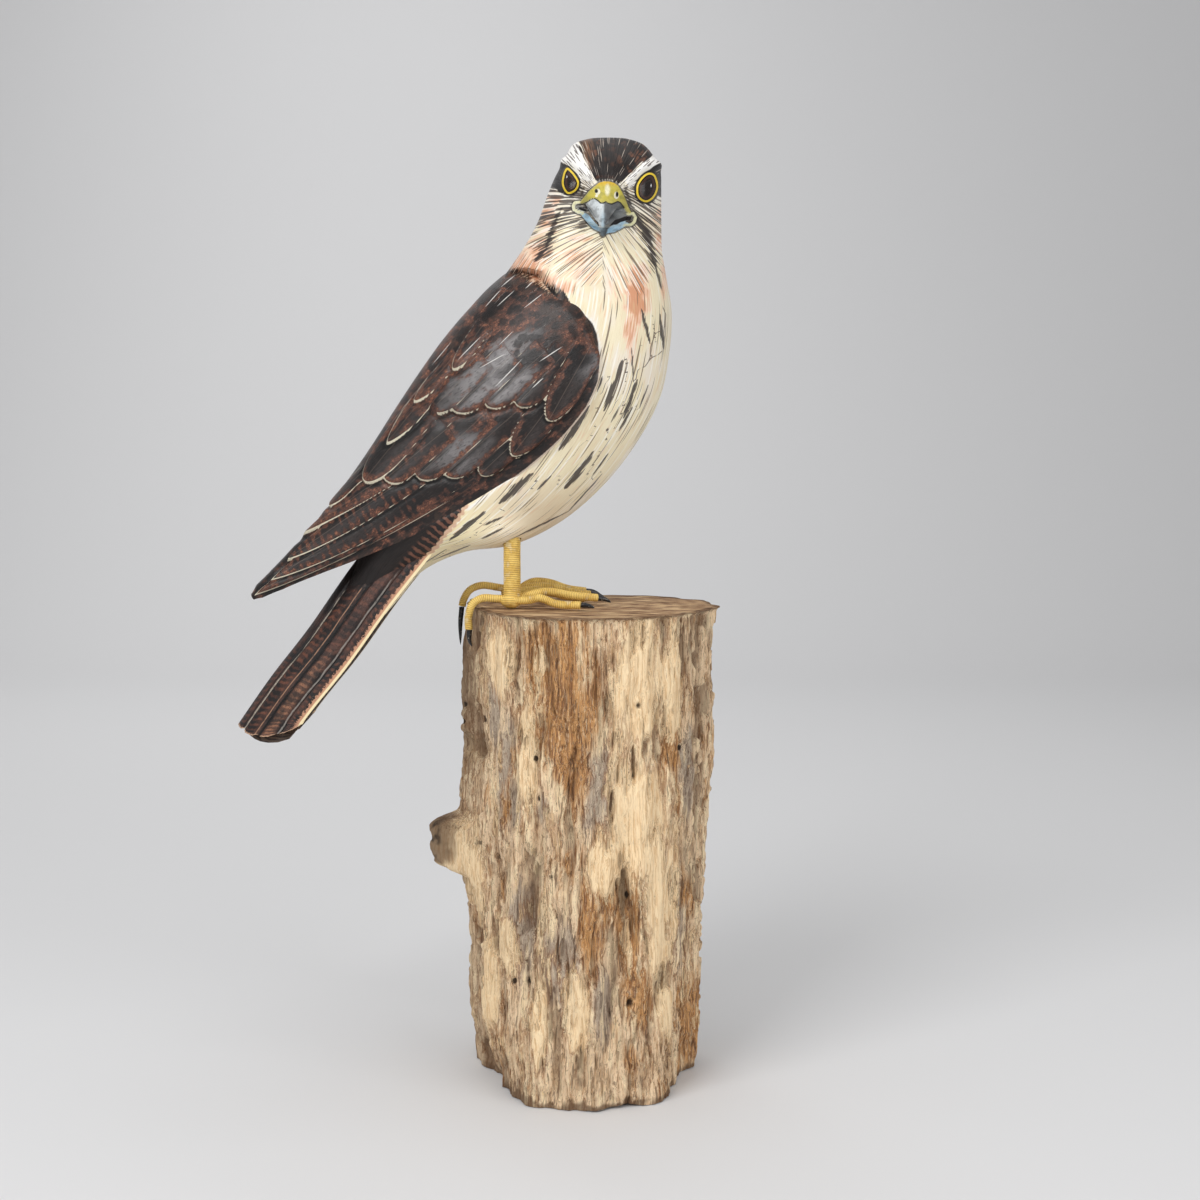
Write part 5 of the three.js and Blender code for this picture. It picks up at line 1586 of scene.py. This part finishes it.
def tail_finish():
    """Tail paint, worked out from the millimetres along the feathers and across them: rust bars in three
    bands, thin pale lines, black lines in the grooves painted as shade, a painted shadow of the wing over the
    root, and an outer edge of pink and cream with dark teeth."""
    finish = Finish("tail_paint")
    place = finish.stored("tail_place")
    along, across, _ = place.parts()
    barbs = place.scaled(0.3, 1.6, 0).noise(3, 0.6)
    fine = place.scaled(1.1, 1.3, 0).noise(3, 0.6)
    broad = place.scaled(0.09, 0.2, 0).noise(2, 0.5)
    slant = along * (WHOLE_TURN / 3.8) + across * 0.5
    bars = (slant + broad * 9.0).math("SINE").step(-0.2, 0.8)

    def band(low, high, soft):
        return across.step(low, low + soft) * across.step(high, high - soft)

    def line(at, half):
        """1 on a thin line along the feathers that sways a little."""
        off = across - at + (broad - 0.5) * 0.9
        return abs(off).step(half, 0.5 * half)

    low_end = along.step(60.0, 92.0)
    patchy = between(0.35, 1.0, broad.step(0.4, 0.56))
    coat = blend((32, 26, 26), (72, 49, 42), broad.step(0.42, 0.62))
    rust = blend((92, 57, 46), (130, 82, 62), fine.step(0.44, 0.6))
    coat = laid(
        coat,
        (rust, bars * band(9.8, 17.6, 2.2) * patchy),
        (rust, bars * band(1.5, 8.4, 2.5) * (low_end * 0.6)),
    )
    slanted = along + across * 1.2 + (barbs - 0.5) * 24.0
    # painted shadow of the wing: near black over the root of the tail
    root = slanted.step(66.0, 50.0) * across.step(24.0, 18.0)
    started = slanted.step(50.0, 62.0)
    coat = blend(coat, (27, 22, 22), root * 0.95)
    light = blend((98, 62, 50), (150, 104, 78), low_end)
    barred = between(0.3, 1.0, bars) * band(20.2, 26.0, 1.6)
    coat = laid(
        coat,
        (light, barred * (patchy * 0.9)),
        (rust, band(27.6, 30.0, 1.2) * (bars * 0.8)),
        ((16, 13, 14), fine.step(0.52, 0.62) * 0.55),
        ((150, 128, 116), barbs.step(0.6, 0.72) * 0.25),
    )
    broken = barbs.step(0.36, 0.5)
    for at, half, colour, cover in TAIL_LINES:
        shown = between(0.4, 1.0, broken) * cover * started
        coat = blend(coat, colour, line(at, half) * shown)
    ripple = (along * (WHOLE_TURN / 2.9) + fine * 14.0).math("SINE")
    teeth = ripple * between(0.1, 0.7, barbs.step(0.4, 0.6))
    edge = across + teeth + (fine - 0.5) * 1.6
    coat = laid(
        coat,
        ((200, 148, 118), edge.step(30.5, 31.1) * 0.9),
        ((240, 222, 178), across.step(31.7, 32.2)),
    )
    tip = (along + (fine - 0.5) * 2.0).step(TAIL_LONG - 2.2, TAIL_LONG - 0.9)
    coat = blend(coat, (196, 160, 132), tip * 0.75)
    below = across.step(TAIL_WIDE, TAIL_WIDE + 1.0)
    coat = blend(coat, blend((84, 70, 60), (52, 42, 38), bars), below)
    finish.set("Base Color", coat)
    painted_gloss(finish, fine + barbs, 0.2)
    return finish.material


# The beak

# y and z of the middle line, half width, rise and fall
UPPER_BEAK = [
    (-18, 437, 15, 11, 8), (-26, 437.4, 13.6, 10, 7.5), (-33, 437, 11.3, 8.8, 7), (-39, 434, 8.3, 7.3, 6),
    (-43, 429, 5, 5, 4.5), (-44.6, 424.8, 2.6, 2.8, 2.6), (-44.8, 421.4, 0.8, 0.9, 0.9),
]
LOWER_BEAK = [
    (-18, 430.6, 12.5, 5, 5), (-28, 428.4, 11.5, 4, 4.6), (-36, 425.8, 8, 3, 3.8),
    (-41, 424.3, 3, 2, 1.8),
]
BEAK_ROOT = -18                 # y of the first station
BEAK_MIDDLE = 6.3               # x there
BEAK_LEAN = 0.075
BEAK_PINCH = 1.25               # above 1 the sides are pinched in


def make_beak(stations, rows, columns):
    """Rings across a bent middle line: up by the sine of the angle times the rise or fall, and aside by
    the half width times a power of the cosine, so that a ridge runs down the front. The cere and the lips
    stand proud, the nostrils and the mouth are cut in."""
    t = np.linspace(0, 1, rows)
    y, z, half, rise, fall = through(stations, t).T[:, :, None]
    heading = np.arctan2(np.gradient(z[:, 0]), -np.gradient(y[:, 0]))[:, None]
    angle = np.linspace(0, WHOLE_TURN, columns, endpoint=False)[None, :]
    up = np.sin(angle) * np.where(np.sin(angle) > 0, rise, fall)
    across = rounded(np.cos(angle), BEAK_PINCH) * half
    x = BEAK_MIDDLE + across + BEAK_LEAN * (y - BEAK_ROOT)
    rings = np.stack([x, y + up * np.sin(heading), z + up * np.cos(heading)], axis=-1)
    px, pz = seen(*np.moveaxis(rings, -1, 0))
    lift = 0.5 * smooth(-0.4, 0.4, polygon_field(px, pz, CERE))
    lift -= 0.9 * smooth(-0.3, 0.5, spots(px, pz, NOSTRILS))
    lift += 0.4 * bell(lines_field(px, pz, GAPES), 0.8)
    lift -= 0.9 * smooth(-0.3, 0.4, inside_any(px, pz, MOUTH))
    rings = rings + grid_normals(rings) * lift[..., None]
    x, y, z = np.moveaxis(rings, -1, 0)
    beak = ring_mesh("beak", rings)
    paint_fields(beak.data, x, y, z, x, z)
    beak.data.materials.append(breast_finish())
    return beak


# The legs and claws

LEG_PLACES = {"right": (-40.4, -22), "left": (-42.5, 22)}
LEG_FOOT = 240
LEG_TOP = 277
ANKLE_LEVELS = (238.4, 242, 245.6)
REST_LEVEL = POST_HEIGHT + 0.3  # the cord is pressed flat on the log
LOG_RIM = -58                   # x of the edge that the back toes hang over
ROWS_TO_A_TURN = 8
SHANK = 4.3                     # radius over the cord
ANKLE = 5.4
TOE = 2.0
SOCKET = 4.6
CLAW = 1.35
CORD_PITCH = 0.92
CORD_RIDGE = 0.5
# Each toe's route and its claw's route, in bird coordinates
FEET = {
    "right": {
        "back": ([(-42, -22, 242.6), (-49, -22.5, 243.2), (-55.5, -23, 243.3), (-60, -23, 240.4),
                  (-62, -23, 234.5), (-61.9, -23, 227.9)], [(-61.6, -23, 227.5), (-61.6, -23, 222.5),
                  (-60.4, -23, 219.4)]),
        "outer": ([(-40, -24, 242.4), (-32, -27.5, 242.8), (-26.8, -29, 244), (-18, -31, 241.2),
                   (-6.4, -33, 240.8)],
                  [(-6, -33, 240.9), (-3, -33.5, 240.6), (0.4, -34, 239.7)]),
        "middle": ([(-40, -21, 243), (-30, -18.5, 245), (-23, -17, 246.2), (-12, -13, 244), (1.5, -8, 242.2)],
                   [(1.9, -8, 242.1), (5.4, -7, 241.4), (8.6, -6.4, 239.7)]),
        "inner": ([(-40, -19, 243.4), (-30, -12, 245.2), (-22, -7, 244.8), (-14, -3, 242.6), (-5, 1, 241)],
                  [(-4.6, 1.2, 241), (-1.6, 2.4, 240.8), (1.4, 3.6, 239.7)]),
    },
    "left": {
        "back": ([(-42, 22, 243.6), (-50, 22, 245), (-58.5, 22, 246), (-64.5, 22, 243.6), (-67.9, 22, 238.4),
                  (-68.6, 22, 235.2)], [(-68.8, 22, 234.8), (-69.6, 22, 226), (-69.6, 22, 215)]),
        "outer": ([(-40, 24, 243.4), (-32, 29, 247.4), (-24, 32, 246.8), (-14, 36, 243.2), (-5, 40, 241.6)],
                  [(-4.6, 40, 241.6), (-0.8, 40.6, 241.2), (3.4, 41, 239.7)]),
        "middle": ([(-40, 22, 243.4), (-31, 22, 245.6), (-22, 23, 245), (-12, 24.5, 242.4), (-2, 26, 241)],
                   [(-1.6, 26, 241), (1.8, 26.6, 240.8), (5, 27, 239.7)]),
        "inner": ([(-40, 20, 243.2), (-31, 15.5, 244.2), (-22, 12, 243), (-10, 9.6, 241)],
                  [(-9.6, 9.6, 241), (-6.4, 9.4, 240.8), (-3.2, 9.2, 239.7)]),
    },
}


def rod_rings(route, radius, rows, columns, wound=True):
    """Rings along a smooth route. The radius may change along it, and carries the ribs of a cord wound
    round it: a rib's crest advances by one pitch in each turn."""
    t = np.linspace(0, 1, 400)
    path = curve_through(route, t)
    length = np.concatenate([[0], np.cumsum(np.linalg.norm(np.diff(path, axis=0), axis=-1))])
    even = np.interp(np.linspace(0, length[-1], rows), length, t)
    path = curve_through(route, even)
    heading = np.gradient(path, axis=0)
    heading /= np.linalg.norm(heading, axis=-1, keepdims=True)
    side = np.array([0, 1, 0]) - heading * heading[:, 1:2]
    side /= np.linalg.norm(side, axis=-1, keepdims=True)
    up = np.cross(heading, side)
    angle = np.linspace(0, WHOLE_TURN, columns, endpoint=False)
    along = np.linspace(0, length[-1], rows)[:, None]
    reach = np.broadcast_to(np.reshape(radius, (-1, 1)), (rows, 1)) + 0 * angle
    turns = along / CORD_PITCH - angle / WHOLE_TURN
    if wound:
        rib = np.sqrt(np.clip(1 - (2 * (turns % 1) - 1) ** 2, 0, 1))
        reach = reach - CORD_RIDGE * (1 - rib)
    circle = side[:, None] * np.cos(angle)[:, None] + up[:, None] * np.sin(angle)[:, None]
    return path[:, None] + circle * reach[..., None], (turns, angle, along)


def make_leg(name):
    """Shank, ankle and four toes of wire wound with yellow cord, joined to one solid."""
    x, y = LEG_PLACES[name]
    parts = [
        rod_rings([(x, y, LEG_FOOT), (x, y, 258), (x, y, LEG_TOP)], SHANK, 330, 28),
        rod_rings([(x - 0.6, y, level) for level in ANKLE_LEVELS],
                  ANKLE * np.sin(np.linspace(0.25, math.pi - 0.25, 60)) ** 0.7, 60, 36),
    ]
    for toe, _ in FEET[name].values():
        length = sum(math.dist(a, b) for a, b in itertools.pairwise(toe))
        parts.append(rod_rings(toe, TOE, int(length / CORD_PITCH * ROWS_TO_A_TURN), 18))
    solids = []
    for rings, place in parts:
        rings = rings + BIRD_SHIFT
        pressed = np.maximum(rings[..., 2], REST_LEVEL)
        rings[..., 2] = np.where(rings[..., 0] > LOG_RIM, pressed, rings[..., 2])
        solid = ring_mesh("cord", rings)
        add_vectors(solid.data, "cord", *place)
        solid.data.materials.append(cord_finish())
        solids.append(solid)
    leg = join_solids(f"{name}_cord_leg", solids)
    return add_piece(leg, "yellow_cord", f"{name}_leg")


def cord_finish():
    """Glazed yellow cord: painted shade between the turns, with soiled and pale patches."""
    if "wound_cord" in bpy.data.materials:
        return bpy.data.materials["wound_cord"]
    finish = Finish("wound_cord")
    cord = finish.stored("cord")
    turns, _, _ = cord.parts()
    valley = abs(turns.math("FRACT") - 0.5)
    patches = finish.cells(5).noise(3)
    fibre = cord.scaled(4, 9, 0).noise()
    coat = laid(
        blend((244, 210, 118), (218, 178, 84), patches.step(0.4, 0.65)),
        ((238, 222, 178), patches.step(0.58, 0.68) * 0.6),
        # painted shade in the valleys between the turns
        ((150, 112, 48), valley.step(0.3, 0.48) * 0.8),
        ((240, 222, 160), fibre.step(0.55, 0.75) * 0.25),
    )
    finish.set("Base Color", coat)
    finish.set("Roughness", 0.55)
    finish.rough_by(fibre, 0.08, 0.6)
    return finish.material


def make_claw(name, toe):
    """A claw: a round taper along its own short curve."""
    route = np.array(FEET[name][toe][1]) + BIRD_SHIFT
    t = np.linspace(0, 1, 30)
    radius = CLAW * (1 - 0.75 * t**2) * np.sqrt(np.clip(1.02 - t**12, 0, 1))
    rings, place = rod_rings(route, radius, 30, 20, wound=False)
    claw = ring_mesh(f"{name}_{toe}_black_claw", rings)
    add_vectors(claw.data, "cord", *place)
    claw.data.materials.append(claw_finish())
    return add_piece(claw, "black_claw", f"{name}_{toe}_claw")


def claw_finish():
    """Black lacquer with wear through to cream near the tips."""
    if "claw_lacquer" in bpy.data.materials:
        return bpy.data.materials["claw_lacquer"]
    finish = Finish("claw_lacquer")
    worn = finish.cells(1.1).noise(3, 0.6)
    finish.set("Base Color", blend((30, 29, 31), (196, 188, 170), worn.step(0.62, 0.7) * 0.7))
    finish.set("Roughness", between(0.16, 0.4, worn))
    finish.rough_by(worn, 0.1, 0.5)
    return finish.material


def make_bird():
    """Body, wings, tail and beak joined to one solid, less the two sockets of the legs."""
    body = make_body()
    pieces = [body, make_wing(-1), make_wing(1), make_tail(), make_beak(UPPER_BEAK, 96, 130),
              make_beak(LOWER_BEAK, 50, 70)]
    sockets = []
    for x, y in LEG_PLACES.values():
        route = [(x, y, 247.3), (x, y, 262), (x, y, LEG_TOP + 0.3)]
        rings, _ = rod_rings(route, SOCKET, 8, 32, wound=False)
        sockets.append(ring_mesh("socket", rings))
    bird = join_solids("kestrel", pieces, sockets)
    points = np.empty(len(bird.data.vertices) * 3, np.float32)
    bird.data.vertices.foreach_get("co", points)
    points = points.reshape(-1, 3) + np.array([0, BIRD_PLANE * MM, 0], np.float32)
    bird.data.vertices.foreach_set("co", points.ravel())
    bird.data.set_sharp_from_angle(angle=math.radians(62))
    bird.data.update()
    return add_piece(bird, "painted_wood", "bird")


# Studio, in metres

FLOOR_BEND = 0.6                # the sweep's flat part as a share of its rows
FLOOR_FRONT = -1.6
FLOOR_BACK = 1.5
FLOOR_HALF = 2.6
SWEEP = 0.9                     # radius of the bend
WALL_TOP = 3.2
LENS = 53.3
CAMERA_PITCH = 5.2


def make_floor():
    """A pale sweep: flat under the object, curved up into a backdrop far behind it."""
    t = np.linspace(0, 1, 60)
    flat = t < FLOOR_BEND
    turn = (t - FLOOR_BEND) / (1 - FLOOR_BEND) * math.pi / 2
    run = np.where(flat, mix(FLOOR_FRONT, FLOOR_BACK, t / FLOOR_BEND), FLOOR_BACK + SWEEP * np.sin(turn))
    rise = np.where(flat, 0, SWEEP * (1 - np.cos(turn)))
    run = np.append(run, FLOOR_BACK + SWEEP)
    rise = np.append(rise, WALL_TOP)
    across = np.linspace(-FLOOR_HALF, FLOOR_HALF, 14)
    points = np.stack(np.broadcast_arrays(across[None, :], run[:, None], rise[:, None] - 0.4 * MM), axis=-1)
    index = np.arange(points.shape[0] * points.shape[1]).reshape(points.shape[:2])
    quads = np.stack([index[:-1, :-1], index[:-1, 1:], index[1:, 1:], index[1:, :-1]], axis=-1)
    mesh = bpy.data.meshes.new("floor")
    mesh.from_pydata(points.reshape(-1, 3).tolist(), [], quads.reshape(-1, 4).tolist())
    mesh.polygons.foreach_set("use_smooth", np.ones(len(mesh.polygons), bool))
    floor = bpy.data.objects.new("floor", mesh)
    bpy.context.scene.collection.objects.link(floor)
    finish = Finish("studio_paper")
    finish.set("Base Color", (221, 221, 222))
    finish.set("Roughness", 0.7)
    mesh.materials.append(finish.material)


def add_light(name, place, target, size, power):
    """A square soft light aimed at a point."""
    data = bpy.data.lights.new(name, "AREA")
    data.size = size
    data.energy = power
    light = bpy.data.objects.new(name, data)
    bpy.context.scene.collection.objects.link(light)
    dx, dy, dz = (b - a for a, b in zip(place, target))
    light.location = place
    light.rotation_euler = (math.atan2(math.hypot(dx, dy), -dz), 0, math.atan2(-dx, dy))


def light_studio():
    """Three soft lights in front and above, one on the backdrop, and a pale grey surround."""
    middle = (0, 0.01, 0.24)
    add_light("key", (-0.8, -1.05, 1.25), middle, 0.8, 16)
    add_light("fill", (0.95, -0.95, 0.6), middle, 0.9, 6.5)
    add_light("top", (0.1, 0.1, 1.7), middle, 1.2, 5)
    add_light("wall", (-0.5, 1.2, 1.3), (0.1, 2.05, 0.12), 0.9, 6.2)
    world = bpy.data.worlds.new("studio")
    world.use_nodes = True
    surround = world.node_tree.nodes["Background"]
    surround.inputs["Color"].default_value = (0.94, 0.94, 0.94, 1)
    surround.inputs["Strength"].default_value = 0.41
    bpy.context.scene.world = world
    bpy.context.scene.view_settings.view_transform = "Standard"


def add_camera():
    """The photograph's view, from the viewing place and pitched a little down."""
    x, y, z = VIEW_PLACE
    data = bpy.data.cameras.new("camera")
    data.lens = LENS
    data.sensor_width = 36
    camera = bpy.data.objects.new("camera", data)
    camera.location = (x * MM, (y + BIRD_PLANE) * MM, z * MM)
    camera.rotation_euler = (math.radians(90 - CAMERA_PITCH), 0, 0)
    bpy.context.scene.collection.objects.link(camera)
    bpy.context.scene.camera = camera


make_post()
make_bird()
for leg_name, toes in FEET.items():
    make_leg(leg_name)
    for toe_name in toes:
        make_claw(leg_name, toe_name)
make_floor()
light_studio()
add_camera()
